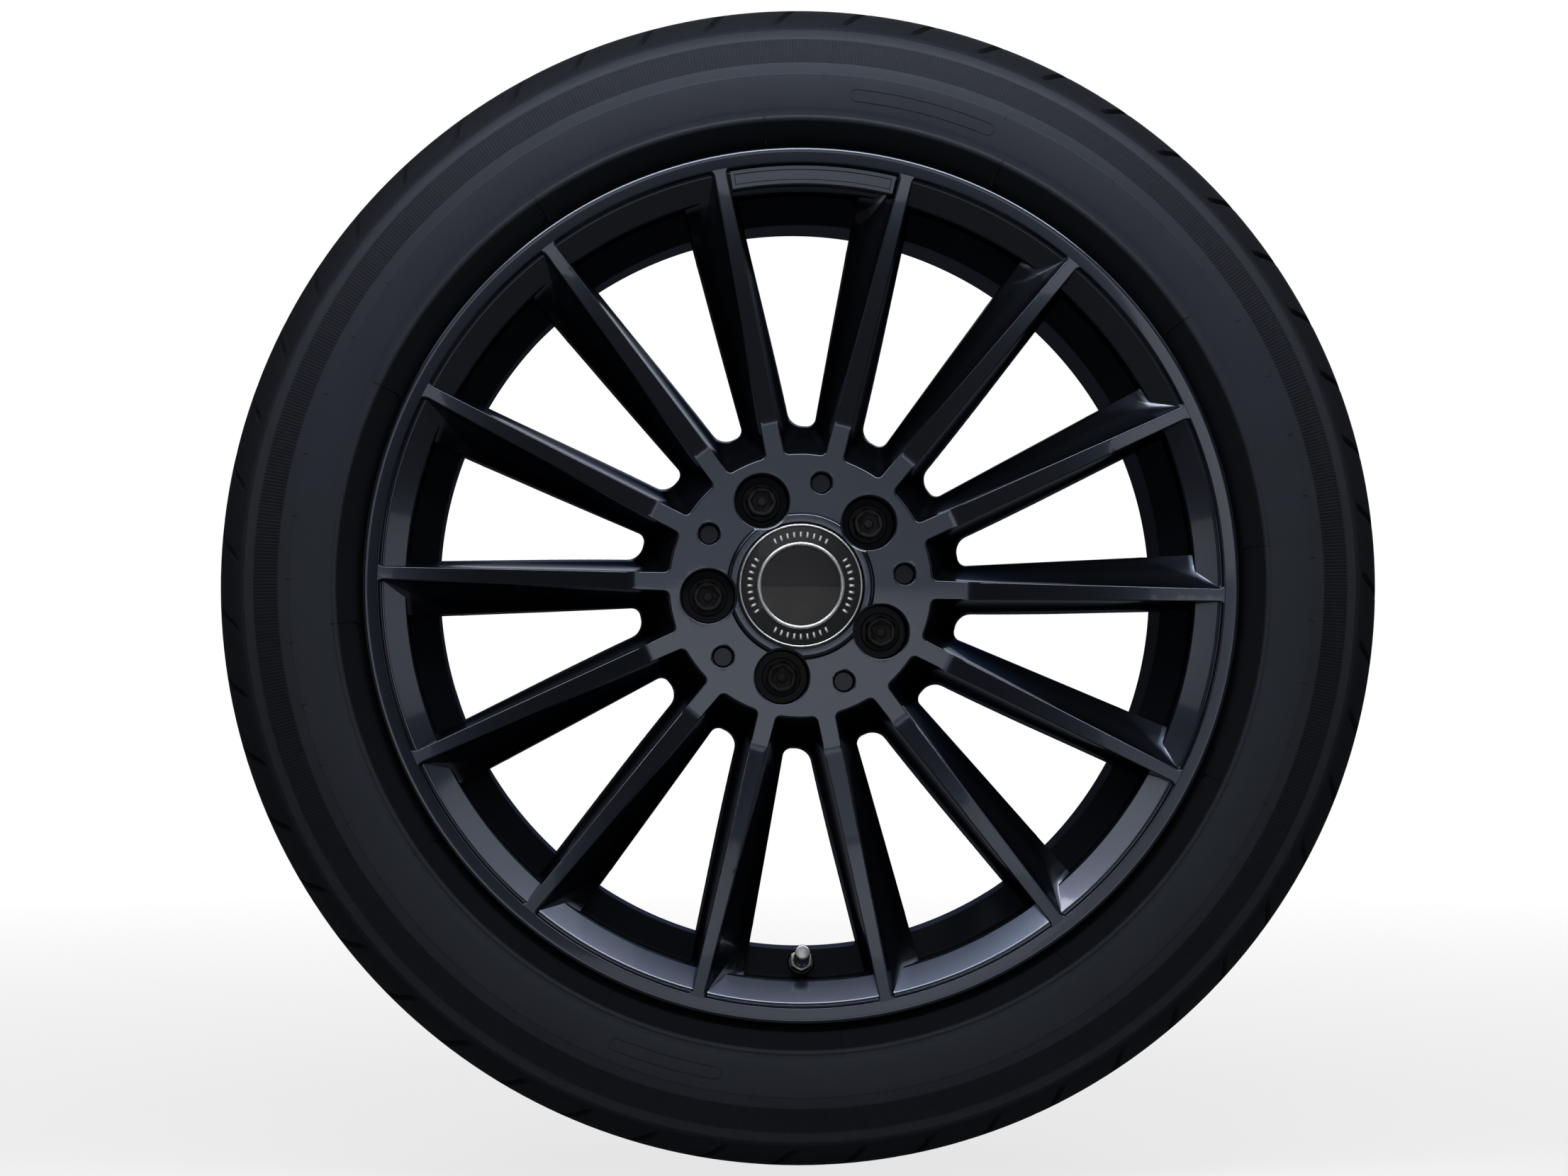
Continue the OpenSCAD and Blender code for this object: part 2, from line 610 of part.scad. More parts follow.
// Half of the tyre's outline, from the bead's toe to the middle of the tread, outer side
function tread_r(y) = tyre_r - 8 * pow(abs(y) / (side_y - 30.5), 2.4);
function tread_half() = let(
    out_a = -(groove_out + groove_w / 2), out_b = -(groove_out - groove_w / 2),
    in_a = -(groove_in + groove_w / 2), in_b = -(groove_in - groove_w / 2)) [
    [tread_r(side_y - 37.5), -(side_y - 37.5)], [tread_r(side_y - 47), -(side_y - 47)],
    [tread_r(out_a), out_a], [tread_r(out_a) - groove_depth, out_a + 1.5],
    [tread_r(out_b) - groove_depth, out_b - 1.5], [tread_r(out_b), out_b],
    [tread_r(mix(out_b, in_a, 0.5)), mix(out_b, in_a, 0.5)],
    [tread_r(in_a), in_a], [tread_r(in_a) - groove_depth, in_a + 1.5],
    [tread_r(in_b) - groove_depth, in_b - 1.5], [tread_r(in_b), in_b]];

function tyre_half() = concat(
    [[seat_r + bead_gap, -(hump_y + 3.4)]],
    arc(seat_r + bead_fillet, -(bead_y - bead_fillet), bead_fillet - bead_gap, 180, 270, 5),
    arc(curl_mid_r, -curl_mid_y, flange_curl_r + bead_gap, 90, 20, 6),
    [[flange_r + 0.9, -(bead_y + 8.2)], [flange_r + 5, -(side_y - 10)], [flange_r + 11, -(side_y - 6)],
    [flange_r + 15, -(side_y - 3.4)], [flange_r + 16.4, -(side_y - 2.6)], [flange_r + 17.6,
        -(side_y - 3.2)],
    [flange_r + 22, -(side_y - 1.6)], [flange_r + 32, -(side_y - 0.3)], [flange_r + 41, -side_y],
    [flange_r + 41.6, -(side_y + 0.4 - 0.4)], [flange_r + 48, -(side_y - 0.6)],
    [flange_r + 48.3, -(side_y - 1.1)], [flange_r + 56, -(side_y - 3)], [flange_r + 63, -(side_y - 6.3)],
    [flange_r + 63.3, -(side_y - 5.9)], [flange_r + 69.2, -(side_y - 9.6)], [flange_r + 69.4,
        -(side_y - 11)],
    [flange_r + 70.2, -(side_y - 11.2)], [flange_r + 70.6, -(side_y - 10.8)],
    [tyre_r - 15.6, -(side_y - 14.6)], [tyre_r - 11.2, -(side_y - 22)], [tyre_r - 8, -(side_y - 30.5)]],
    tread_half());

module tyre_shape() {
    liner = [[tyre_r - tread_wall, 0], [tyre_r - tread_wall - 2.6, -(side_y - 50)],
        [tyre_r - tread_wall - 9, -(side_y - 28)], [tyre_r - tread_wall - 22, -(side_y - side_wall - 5)],
        [tyre_r - tread_wall - 38, -(side_y - side_wall)], [flange_r + 26, -(side_y - side_wall - 0.6)],
        [flange_r + 8, -(side_y - side_wall - 8.5)], [flange_r - 8, -(bead_y - 9)], [seat_r + 3,
            -(hump_y + 3.6)]];
    outer = tyre_half();
    turned(concat(outer, flip(outer), flip(liner), [for (i = [1:len(liner) - 1]) liner[i]]), 240);
}

// A cross groove over one shoulder
module shoulder_groove() {
    y0 = side_y - 12;
    y1 = groove_out + groove_w / 2 + 3;
    r0 = tyre_r - 20.5;
    r1 = tread_r(y1);
    lean = atan((r1 - r0) / (y0 - y1));
    reach = norm([y0 - y1, r1 - r0]);
    translate([r0, -y0, 0]) rotate([0, 0, -lean]) rotate([-24, 0, 0])
        translate([-1.5, -2, -shoulder_groove_w / 2]) cube([24, reach + 2, shoulder_groove_w]);
}

module tyre() {
    color([0.09, 0.09, 0.095]) difference() {
        tyre_shape();
        for (k = [0:shoulder_grooves - 1]) at_angle(k * 360 / shoulder_grooves) {
            shoulder_groove();
            mirror([0, 1, 0]) shoulder_groove();
        }
    }
}

// The cap's moulding: face, rim wall and sprung clips with hooks
module cap_body() {
    inside = cap_face_y + cap_wall;
    hook_y = neck_y + 0.2;
    color([0.05, 0.05, 0.055]) union() {
        turned([[0, cap_face_y], [outer_ring_d / 2 - outer_ring_w - 0.1, cap_face_y],
            [outer_ring_d / 2 - outer_ring_w - 0.1, cap_face_y + 0.6], [outer_ring_d / 2, cap_face_y + 0.6],
            [cap_r, cap_face_y + 1.1], [cap_r, recess_y], [clip_r + 0.2, recess_y], [clip_r + 0.2,
                inside], [0, inside]]);
        for (k = [0:clip_count - 1]) rotate([-90, 0, 0]) rotate([0, 0, k * 360 / clip_count])
            rotate_extrude(angle = 30, $fn = round_fn) polygon([[clip_r - clip_wall, inside - 0.5],
                [clip_r, inside - 0.5], [clip_r, hook_y], [clip_r + clip_hook, hook_y + 0.6],
                [clip_r + clip_hook, hook_y + 1.4], [clip_r - 0.6, hook_y + 4.6], [clip_r - clip_wall,
                    hook_y + 4.6],
                [clip_r - clip_wall, hook_y + 1.6 + ring_wire], [clip_r - clip_wall + 0.7,
                    hook_y + 1.2 + ring_wire],
                [clip_r - clip_wall + 0.7, hook_y + 0.6], [clip_r - clip_wall, hook_y + 0.2]]);
    }
}

module cap_badge() {
    ring_r = inner_ring_d / 2;
    color([0.03, 0.03, 0.04]) turned([[0, badge_y - 0.5], [ring_r * 0.5, badge_y - 0.35],
        [ring_r - inner_ring_w, badge_y], [ring_r - inner_ring_w, cap_face_y],
        [0, cap_face_y]]);
}

module cap_inner_ring() {
    ring_r = inner_ring_d / 2;
    color("silver") turned(concat([[ring_r - inner_ring_w, cap_face_y]],
        arc(ring_r - inner_ring_w / 2, cap_face_y - 0.5, inner_ring_w / 2, 180, 360, 8), [[ring_r,
            cap_face_y]]));
}

module cap_outer_ring() {
    ring_r = outer_ring_d / 2;
    color("silver") turned([[ring_r - outer_ring_w, cap_face_y + 0.6], [ring_r - outer_ring_w,
        cap_face_y - 0.3],
        [ring_r - outer_ring_w + 0.4, cap_face_y - 0.7], [ring_r - 0.4, cap_face_y - 0.6], [ring_r,
            cap_face_y],
        [ring_r, cap_face_y + 0.6]]);
}

module cap_spring_ring() {
    hook_y = neck_y + 0.2;
    color("silver") rotate([-90, 0, 0]) rotate_extrude(angle = 350, $fn = round_fn)
        translate([clip_r - clip_wall - ring_wire / 2 + 0.6,
            hook_y + 0.8 + ring_wire / 2]) circle(d = ring_wire, $fn = 24);
}

// The stem with its foot, the hole down it and the seat of the insert
module valve_stem() {
    tip_r = stem_tip_d / 2;
    shank_r = stem_d / 2;
    tip_base = stem_tip - tip_len;
    color("silver") difference() {
        rotate_extrude($fn = small_fn) polygon([[0, foot_base], [valve_washer_d / 2 - 0.4, foot_base],
            [valve_washer_d / 2 - 0.2, foot_base + 0.4], [valve_washer_d / 2 - 0.2, foot_top],
                [shank_r, foot_top],
            [shank_r, tip_base - 1.4], [tip_r, tip_base], [tip_r, stem_tip - 0.5], [tip_r - 0.5,
                stem_tip], [0, stem_tip]]);
        translate([0, 0, foot_base + 3.8]) cylinder(d = stem_bore_d, h = stem_len + foot_h, $fn = small_fn);
        translate([0, 0, foot_base - 1]) cylinder(d = screw_d, h = screw_depth + 1, $fn = small_fn);
        translate([0, 0, foot_base + 4.5]) rotate([0, 90, 0]) cylinder(d = 1.6, h = 20, center = true,
            $fn = 24);
        translate([0, 0, core_base]) cylinder(d = core_d, h = core_len + 5, $fn = small_fn);
    }
}

module valve_grommet() {
    color([0.05, 0.05, 0.05]) rotate_extrude($fn = small_fn) polygon([[stem_d / 2, foot_top],
        [valve_washer_d / 2, foot_top], [valve_washer_d / 2, -nut_seat], [valve_hole_d / 2, -nut_seat],
        [valve_hole_d / 2, nut_seat], [stem_d / 2, nut_seat]]);
}

module valve_washer() {
    color([0.08, 0.08, 0.08]) translate([0, 0, nut_seat]) difference() {
        cylinder(d = valve_washer_d, h = valve_washer_h, $fn = small_fn);
        translate([0, 0, -1]) cylinder(d = stem_d, h = valve_washer_h + 2, $fn = small_fn);
    }
}

module valve_nut() {
    color("silver") translate([0, 0, nut_base]) difference() {
        intersection() {
            cylinder(r = hex_r(valve_nut_af), h = valve_nut_h, $fn = 6);
            rotate_extrude($fn = small_fn) polygon([[0, 0], [valve_nut_af / 2, 0],
                [hex_r(valve_nut_af) + 0.4, 0.8],
                [hex_r(valve_nut_af) + 0.4, valve_nut_h - 0.8], [valve_nut_af / 2 - 0.1, valve_nut_h],
                    [0, valve_nut_h]]);
        }
        translate([0, 0, -1]) cylinder(d = stem_d, h = valve_nut_h + 2, $fn = small_fn);
    }
}

module valve_core() {
    color([0.75, 0.6, 0.3]) difference() {
        translate([0, 0, core_base]) cylinder(d = core_d, h = core_len, $fn = small_fn);
        translate([0, 0, core_base + 0.8]) cylinder(d = core_bore_d, h = core_len, $fn = small_fn);
        translate([0, 0, core_base - 1]) cylinder(d = pin_d + 0.5, h = core_len, $fn = small_fn);
        translate([0, 0, core_top - 1.6]) difference() {
            cylinder(d = core_d + 1, h = 3, $fn = small_fn);
            translate([-core_d, -1, -1]) cube([2 * core_d, 2, 5]);
        }
    }
}

module valve_pin() {
    color([0.8, 0.65, 0.35]) union() {
        translate([0, 0, core_base - pin_cup_h]) cylinder(d = pin_cup_d, h = pin_cup_h, $fn = small_fn);
        translate([0, 0, core_base - pin_cup_h + 0.2]) cylinder(d = pin_d,
            h = core_len + pin_cup_h + 0.9, $fn = small_fn);
        translate([0, 0, core_top - 2.8]) cylinder(d = core_bore_d - 0.4, h = 0.5, $fn = small_fn);
    }
}

// A coil spring between the insert's floor and the pin's collar
module valve_core_spring() {
    z0 = core_base + 0.8 + spring_wire / 2;
    z1 = core_top - 2.8 - pin_travel - spring_wire / 2;
    steps = spring_turns * 10;
    sides = 6;
    rings = [for (i = [0:steps]) let(a = i * 36, c = [spring_r * cos(a), spring_r * sin(a), mix(z0, z1,
        i / steps)])
        [for (j = [0:sides - 1]) let(b = j * 360 / sides) c + spring_wire / 2 * [cos(b) * cos(a),
            cos(b) * sin(a), sin(b)]]];
    color("silver") loft([for (i = [0:steps]) rings[i]]);
}

// The fluted cap, hollow over the stem's tip
module valve_cap() {
    flutes = 12;
    color([0.7, 0.7, 0.72]) difference() {
        translate([0, 0, valve_cap_base]) rotate_extrude($fn = small_fn) polygon([[0, 0],
            [valve_cap_d / 2 - 0.3, 0],
            [valve_cap_d / 2, 0.3], [valve_cap_d / 2, valve_cap_len - 1], [valve_cap_d / 2 - 1,
                valve_cap_len],
            [0, valve_cap_len]]);
        translate([0, 0, valve_cap_base - 1]) cylinder(r = cap_in_r,
            h = valve_cap_len - cap_top_wall + 1, $fn = small_fn);
        for (k = [0:flutes - 1]) rotate([0, 0, k * 360 / flutes]) translate([valve_cap_d / 2 + 0.55, 0,
            valve_cap_base + 2.4])
            cylinder(r = 0.8, h = valve_cap_len, $fn = 24);
    }
}

module valve_cap_seal() {
    color([0.2, 0.05, 0.05]) translate([0, 0, stem_tip + 0.15]) difference() {
        cylinder(r = cap_in_r - 0.1, h = cap_seal_h, $fn = small_fn);
        translate([0, 0, -1]) cylinder(d = 2.4, h = cap_seal_h + 2, $fn = small_fn);
    }
}

// The sensor housing on the stem's foot, lying over the well
module pressure_sensor() {
    corner = 4;
    near = -3.2;
    color([0.08, 0.08, 0.085]) difference() {
        translate([near, 0, foot_base - sensor_w]) union() {
            linear_extrude(sensor_w) union() {
                translate([0, -sensor_l / 2 + corner]) square([sensor_h, sensor_l - 2 * corner]);
                translate([corner, -sensor_l / 2]) square([sensor_h - 2 * corner, sensor_l]);
                for (x = [corner, sensor_h - corner], y = [corner - sensor_l / 2, sensor_l / 2 - corner])
                    translate([x, y]) circle(r = corner, $fn = 32);
            }
        }
        translate([0, 0, foot_base - sensor_w - 1]) cylinder(d = screw_head_d + 1, h = sensor_w - 3,
            $fn = small_fn);
        translate([0, 0, foot_base - 6]) cylinder(d = screw_d + 0.1, h = 7, $fn = small_fn);
    }
}

module sensor_screw() {
    color("silver") difference() {
        union() {
            translate([0, 0, foot_base - 6.4]) cylinder(d = screw_head_d, h = 2.4, $fn = small_fn);
            translate([0, 0, foot_base - 4.2]) cylinder(d = screw_d, h = screw_depth + 3.6, $fn = small_fn);
        }
        translate([0, 0, foot_base - 7]) cylinder(r = hex_r(2.4), h = 2, $fn = 6);
    }
}

// A band on the inside of the barrel's leg, turn degrees long
module on_barrel(r0, r1, width, from, turn) {
    rotate([-90, 0, 0]) rotate([0, 0, -from - turn]) rotate_extrude(angle = turn, $fn = round_fn)
        translate([r0, weight_y - width / 2]) square([r1 - r0, width]);
}

weight_step = deg_at(leg_in_r, weight_l + 0.8);

module weight_tape() {
    color([0.15, 0.15, 0.15]) on_barrel(leg_in_r - tape_t, leg_in_r, weight_w,
        weight_angle - weight_step * weight_count / 2, weight_step * weight_count);
}

module balance_weights() {
    color([0.6, 0.6, 0.62]) for (i = [0:weight_count - 1])
        on_barrel(leg_in_r - tape_t - weight_t, leg_in_r - tape_t, weight_w - 1,
            weight_angle + weight_step * (i - weight_count / 2) + deg_at(leg_in_r, 0.4),
                deg_at(leg_in_r, weight_l));
}

rim();
tyre();
at_bolt(0) wheel_bolt();  // wheel_bolt_1
at_bolt(1) wheel_bolt();  // wheel_bolt_2
at_bolt(2) wheel_bolt();  // wheel_bolt_3
at_bolt(3) wheel_bolt();  // wheel_bolt_4
at_bolt(4) wheel_bolt();  // wheel_bolt_5
cap_body();
cap_badge();
cap_outer_ring();
cap_inner_ring();
cap_spring_ring();
at_valve() valve_stem();
at_valve() valve_grommet();
at_valve() valve_washer();
at_valve() valve_nut();
at_valve() valve_core();
at_valve() valve_pin();
at_valve() valve_core_spring();
at_valve() valve_cap();
at_valve() valve_cap_seal();
at_valve() pressure_sensor();
at_valve() sensor_screw();
weight_tape();
balance_weights();
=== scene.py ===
# %% [markdown]
# # A car wheel, dressed for its picture
# This script makes finer pieces over it, gives each a finish, and sets up a small studio round it. The
# axle runs along Y, the outer face looks towards -Y, Z is up, and every length below is in millimetres
# until the last moment, when it is turned into Blender's metres.

# %% Load the frame
import json
import math

import bmesh
import bpy
from mathutils import Matrix, Vector

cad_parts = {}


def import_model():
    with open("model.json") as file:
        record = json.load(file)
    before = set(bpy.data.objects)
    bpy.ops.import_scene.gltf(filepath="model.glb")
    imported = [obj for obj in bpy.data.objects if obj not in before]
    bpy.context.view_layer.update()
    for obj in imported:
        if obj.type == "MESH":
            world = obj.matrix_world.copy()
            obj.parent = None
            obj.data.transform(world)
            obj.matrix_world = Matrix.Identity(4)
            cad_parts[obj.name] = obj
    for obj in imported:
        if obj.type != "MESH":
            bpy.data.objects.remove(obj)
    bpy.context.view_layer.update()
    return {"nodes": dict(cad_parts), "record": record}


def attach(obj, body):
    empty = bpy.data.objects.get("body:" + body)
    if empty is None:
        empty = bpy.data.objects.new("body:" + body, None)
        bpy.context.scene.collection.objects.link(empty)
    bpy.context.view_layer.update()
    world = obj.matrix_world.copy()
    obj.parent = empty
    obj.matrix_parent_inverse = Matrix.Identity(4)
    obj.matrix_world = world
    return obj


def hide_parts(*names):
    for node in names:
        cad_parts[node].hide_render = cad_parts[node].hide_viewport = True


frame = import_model()
nodes = frame["nodes"]
MM = 0.001

# %% [markdown]
# # The camera
# The photograph was taken nearly straight at the hub with a long lens: the tread shows as a thin
# ring all round, a little more on one side. A camera 2.05 m away, slightly left of the axle and
# slightly below it, draws the rings of the wheel where the photograph has them.

# %% Camera
distance = 2.05
left_of_axle = math.radians(1.8)
below_axle = math.radians(1.5)
lens = bpy.data.cameras.new("camera")
lens.sensor_width = 36
lens.lens = 75.5
photo_width = 2212
lens.shift_x = -18 / photo_width
lens.shift_y = 1.5 / photo_width
lens.clip_end = 60
camera = bpy.data.objects.new("camera", lens)
camera.location = Vector((-math.sin(left_of_axle) * math.cos(below_axle),
                          -math.cos(left_of_axle) * math.cos(below_axle), -math.sin(below_axle))) * distance
camera.rotation_euler = (-camera.location).to_track_quat("-Z", "Y").to_euler()
bpy.context.scene.collection.objects.link(camera)
bpy.context.scene.camera = camera
print("camera at", [round(v, 3) for v in camera.location])

# %% [markdown]
# # Shader sums in plain Python
# A finish is a little tree of nodes. Writing each Math node out by hand hides the idea, so a small
# class wraps a socket and lets Python's own signs add the nodes: 1 - mask * 0.3 just works.
# Every other node comes from one method that takes its type, its settings and its inputs.

# %% Value and Finish
class Value:
    """A number that varies over a surface."""

    def __init__(self, finish, socket):
        self.finish, self.socket = finish, socket

    def sum(self, operation, *others):
        inputs = dict(enumerate((self, *others)))
        return self.finish.node("ShaderNodeMath", {"operation": operation}, inputs)

    def __add__(self, other): return self.sum("ADD", other)
    def __sub__(self, other): return self.sum("SUBTRACT", other)
    def __mul__(self, other): return self.sum("MULTIPLY", other)
    def __truediv__(self, other): return self.sum("DIVIDE", other)
    def __pow__(self, other): return self.sum("POWER", other)
    def __radd__(self, other): return self + other
    def __rmul__(self, other): return self * other
    def __rsub__(self, other): return self * -1 + other
    def clamped(self): return self.sum("MAXIMUM", 0).sum("MINIMUM", 1)
    def sine(self): return self.sum("SINE")
    def above(self, edge, soft): return ((self - edge) / soft + 0.5).clamped()


class Finish:
    """One material: a Principled shader and whatever feeds it."""

    def __init__(self, name, **constants):
        self.material = bpy.data.materials.new(name)
        self.material.use_nodes = True
        self.tree = self.material.node_tree
        self.tree.nodes.clear()
        self.shader = self.tree.nodes.new("ShaderNodeBsdfPrincipled")
        self.output = self.tree.nodes.new("ShaderNodeOutputMaterial")
        self.tree.links.new(self.shader.outputs[0], self.output.inputs["Surface"])
        for socket, value in constants.items():
            self.feed(socket.replace("_", " "), value)
        self.place = self.node("ShaderNodeTexCoord", {}, {}, "Object")

    def node(self, kind, settings, inputs, output=0):
        made = self.tree.nodes.new(kind)
        for name, value in settings.items():
            setattr(made, name, value)
        for socket, value in inputs.items():
            self.put(made.inputs[socket], value)
        return Value(self, made.outputs[output])

    def put(self, socket, value):
        if isinstance(value, Value):
            self.tree.links.new(value.socket, socket)
        else:
            socket.default_value = (*value, 1) if socket.type == "RGBA" and len(value) == 3 else value

    def feed(self, socket, value):
        self.put(self.shader.inputs[socket], value)

    def noise(self, size, detail=2, stretch=(1, 1, 1)):
        """Soft noise between 0 and 1 whose lumps are about size millimetres across."""
        where = self.place
        if stretch != (1, 1, 1):
            where = self.node("ShaderNodeMapping", {}, {"Vector": where, "Scale": stretch})
        return self.node("ShaderNodeTexNoise", {}, {"Vector": where, "Scale": 1 / (size * MM),
                                                    "Detail": detail})

    def axes(self):
        """The three object coordinates, in millimetres."""
        apart = self.tree.nodes.new("ShaderNodeSeparateXYZ")
        self.tree.links.new(self.place.socket, apart.inputs[0])
        return [Value(self, out) * (1 / MM) for out in apart.outputs]

    def mix(self, amount, one, other):
        return self.node("ShaderNodeMix", {"data_type": "RGBA"}, {0: amount, 6: one, 7: other}, 2)

    def bump(self, height, depth):
        """Height between 0 and 1 makes bumps depth millimetres high."""
        self.feed("Normal", self.node("ShaderNodeBump", {}, {"Height": height, "Distance": depth * MM}))


print("sums ready")

# %% [markdown]
# # The finishes
# The rim is lacquered in a very dark blue-grey: a satin pigment layer under a clear, glossy coat with
# the faint waviness called orange peel. The tyre is matt black rubber, a little smoother where the
# mould was polished, with fine turned lines. The bolts are zinc coated in black, the cap's rings are
# chromed, and the valve is bright and satin metal. Each finish varies a little over the surface,
# as any real one does.
# Deep in the rim, in its windows and inside the barrel, the paint's colour is darkened: that is painted
# shade.

# %% Rim paint
def rim_paint():
    paint = Finish("rim_paint", IOR=1.45, Coat_Roughness=0.05, Coat_IOR=1.5, Specular_Tint=(0.40, 0.46, 0.60))
    x, y, z = paint.axes()
    radius = (x * x + z * z) ** 0.5
    share = ((radius - 101) / 148.8).clamped()  # 0 at the flat hub and 1 at the band, as in front_y
    depth = y + 76 + share * 37 + share * (1 - share) * 16  # how far behind the front face
    barrel = radius.above(232, 2)
    # deep is painted shade: behind the spoke faces, in the windows and inside the barrel the paint's colour
    # is darkened to near black where shade falls; there it is also rougher and has less coat.
    deep = (depth.above(9, 13) * (1 - barrel) + y.above(-90, 8) * barrel).clamped()
    cloud = paint.noise(60, 3)
    flake = paint.noise(0.45, 1)
    open_tone = paint.mix((cloud * 0.6 + flake * 0.4).clamped(),
                          (0.0290, 0.0360, 0.0530), (0.0410, 0.0490, 0.0690))
    # The near-black colour here is the painted shade of the deep parts.
    paint.feed("Base Color", paint.mix(deep, open_tone, (0.0050, 0.0062, 0.0090)))
    paint.feed("Roughness", cloud * 0.06 + 0.20 + deep * 0.22)
    paint.feed("Metallic", flake * 0.08 + 0.90)
    paint.feed("Coat Weight", 0.5 - deep * 0.44)
    paint.bump(paint.noise(2.6, 2) * 0.8 + paint.noise(14, 1) * 0.2, 0.005)
    return paint.material


RIM = rim_paint()
print("finish:", RIM.name)

# %% [markdown]
# # The tyre's rubber
# Rubber mirrors little, so its look comes from a dark tone that varies softly. Masks made from the
# radius tell the tread, the bead and the ribbed band apart, as the zones of the mould do; the bead zone
# and, less, the ribbed band are also darkened, which is painted shade in the channel next to the rim
# and between the fine ribs.

# %% Tyre rubber
def tyre_rubber():
    rubber = Finish("tyre_rubber", IOR=1.46, Specular_IOR_Level=0.18, Specular_Tint=(0.70, 0.80, 1.0))
    x, y, z = rubber.axes()
    radius = (x * x + z * z) ** 0.5
    tread = radius.above(329, 3)
    bead = 1 - radius.above(273.6, 1.6)
    ribs = radius.above(307.3, 0.8) * (1 - radius.above(321.6, 0.8))
    cloud = rubber.noise(35, 4)
    grain = rubber.noise(0.7, 2)
    streak = rubber.noise(4, 2, (1, 6, 1))
    side = rubber.mix(cloud, (0.0190, 0.0217, 0.0283), (0.0240, 0.0274, 0.0355))
    # dark is painted shade: the bead zone next to the rim is darkened to near black, and the ribbed band
    # partly, where shade falls in the channel and between the ribs; both are also made more matt.
    dark = (bead + ribs * 0.45).clamped()
    worn = rubber.mix(streak, (0.0044, 0.0050, 0.0068), (0.0080, 0.0090, 0.0118))
    # The near-black colour here is that painted shade.
    rubber.feed("Base Color", rubber.mix(tread, rubber.mix(dark, side, (0.0022, 0.0025, 0.0034)), worn))
    rubber.feed("Roughness", (0.46 + cloud * 0.08 + grain * 0.05 + tread * 0.30 + dark * 0.30).clamped())
    turning = (radius * 5.2).sine() * 0.5 + 0.5
    rubber.bump(grain * 0.55 + turning * (1 - tread) * 0.18 + cloud * 0.3, 0.06)
    return rubber.material


TYRE = tyre_rubber()
print("finish:", TYRE.name)

# %% [markdown]
# # Finishes of the small parts
# Each small part is either metal or moulded, so two functions make all their finishes. Metal gets
# fine scratches and a moulding gets a fine grain, and both wander between a dark and a light tone.

# %% Small parts' finishes
def metal(name, dark, light, roughness, lump=3.0, scratch=0.004, metallic=1.0):
    """A metal whose tone and polish vary a little, with fine scratches as bump."""
    made = Finish(name, Metallic=metallic)
    cloud = made.noise(lump, 3)
    fine = made.noise(0.35, 2, (1, 7, 1))
    made.feed("Base Color", made.mix(cloud, dark, light))
    made.feed("Roughness", (cloud * 0.12 + fine * 0.10 + roughness).clamped())
    made.bump(fine * 0.7 + cloud * 0.3, scratch)
    return made.material


def moulding(name, dark, light, roughness, grain, depth, coat=0.0, shine=0.5):
    """Plastic or rubber with a moulded grain."""
    made = Finish(name, Coat_Weight=coat, Coat_Roughness=0.03, Specular_IOR_Level=shine)
    cloud = made.noise(12, 3)
    fine = made.noise(grain, 2)
    made.feed("Base Color", made.mix(cloud * 0.6 + fine * 0.4, dark, light))
    made.feed("Roughness", (cloud * 0.10 + fine * 0.08 + roughness).clamped())
    made.bump(fine, depth)
    return made.material


BOLT = metal("bolt_black", (0.010, 0.010, 0.012), (0.026, 0.027, 0.031), 0.36, 2.0, 0.010, 0.6)
CHROME = metal("ring_chrome", (0.70, 0.72, 0.75), (0.84, 0.86, 0.89), 0.16, 8.0, 0.001)
CAP = moulding("cap_moulding", (0.0075, 0.008, 0.010), (0.013, 0.014, 0.017), 0.26, 1.0, 0.004, 0.2, 0.3)
BADGE = moulding("badge_gloss", (0.0045, 0.0048, 0.0065), (0.0075, 0.008, 0.0105), 0.12, 1.6, 0.003, 0.15,
                 0.2)
NUT = metal("nut_metal", (0.36, 0.37, 0.40), (0.56, 0.57, 0.60), 0.27, 2.0, 0.008)
STEM = metal("valve_metal", (0.42, 0.43, 0.46), (0.62, 0.63, 0.66), 0.24, 2.0, 0.006)
DUST_CAP = metal("cap_metal", (0.40, 0.41, 0.44), (0.66, 0.67, 0.70), 0.22, 2.0, 0.008)
BRASS = metal("core_brass", (0.55, 0.38, 0.15), (0.74, 0.55, 0.26), 0.26, 1.5, 0.004)
SPRING = metal("spring_steel", (0.30, 0.30, 0.31), (0.50, 0.50, 0.51), 0.28, 1.5, 0.003)
WASHER = moulding("washer_black", (0.010, 0.010, 0.011), (0.022, 0.022, 0.024), 0.42, 0.5, 0.012)
SEAL = moulding("seal_rubber", (0.012, 0.012, 0.013), (0.026, 0.026, 0.028), 0.55, 0.4, 0.020)
SENSOR = moulding("sensor_plastic", (0.016, 0.017, 0.019), (0.034, 0.035, 0.038), 0.45, 0.6, 0.030)
FOAM = moulding("tape_foam", (0.018, 0.018, 0.019), (0.045, 0.045, 0.047), 0.85, 0.5, 0.12)
ZINC = metal("weight_metal", (0.30, 0.31, 0.33), (0.48, 0.49, 0.51), 0.40, 3.0, 0.030)
print(len(bpy.data.materials), "finishes")

# %% [markdown]
# # Turning, rounding and cutting
# Most of a wheel is turned on a lathe or cast in a mould that was, so the first helper spins a
# profile of [radius, place along the axle] about the axle. Real edges are never quite sharp, and a
# sharp edge catches no light, so a second helper rounds the corners of a profile first. Openings
# are cut with a Boolean, which is applied at once so that only the finished mesh stays.

# %% Helpers
def mix(a, b, t):
    return a + (b - a) * t


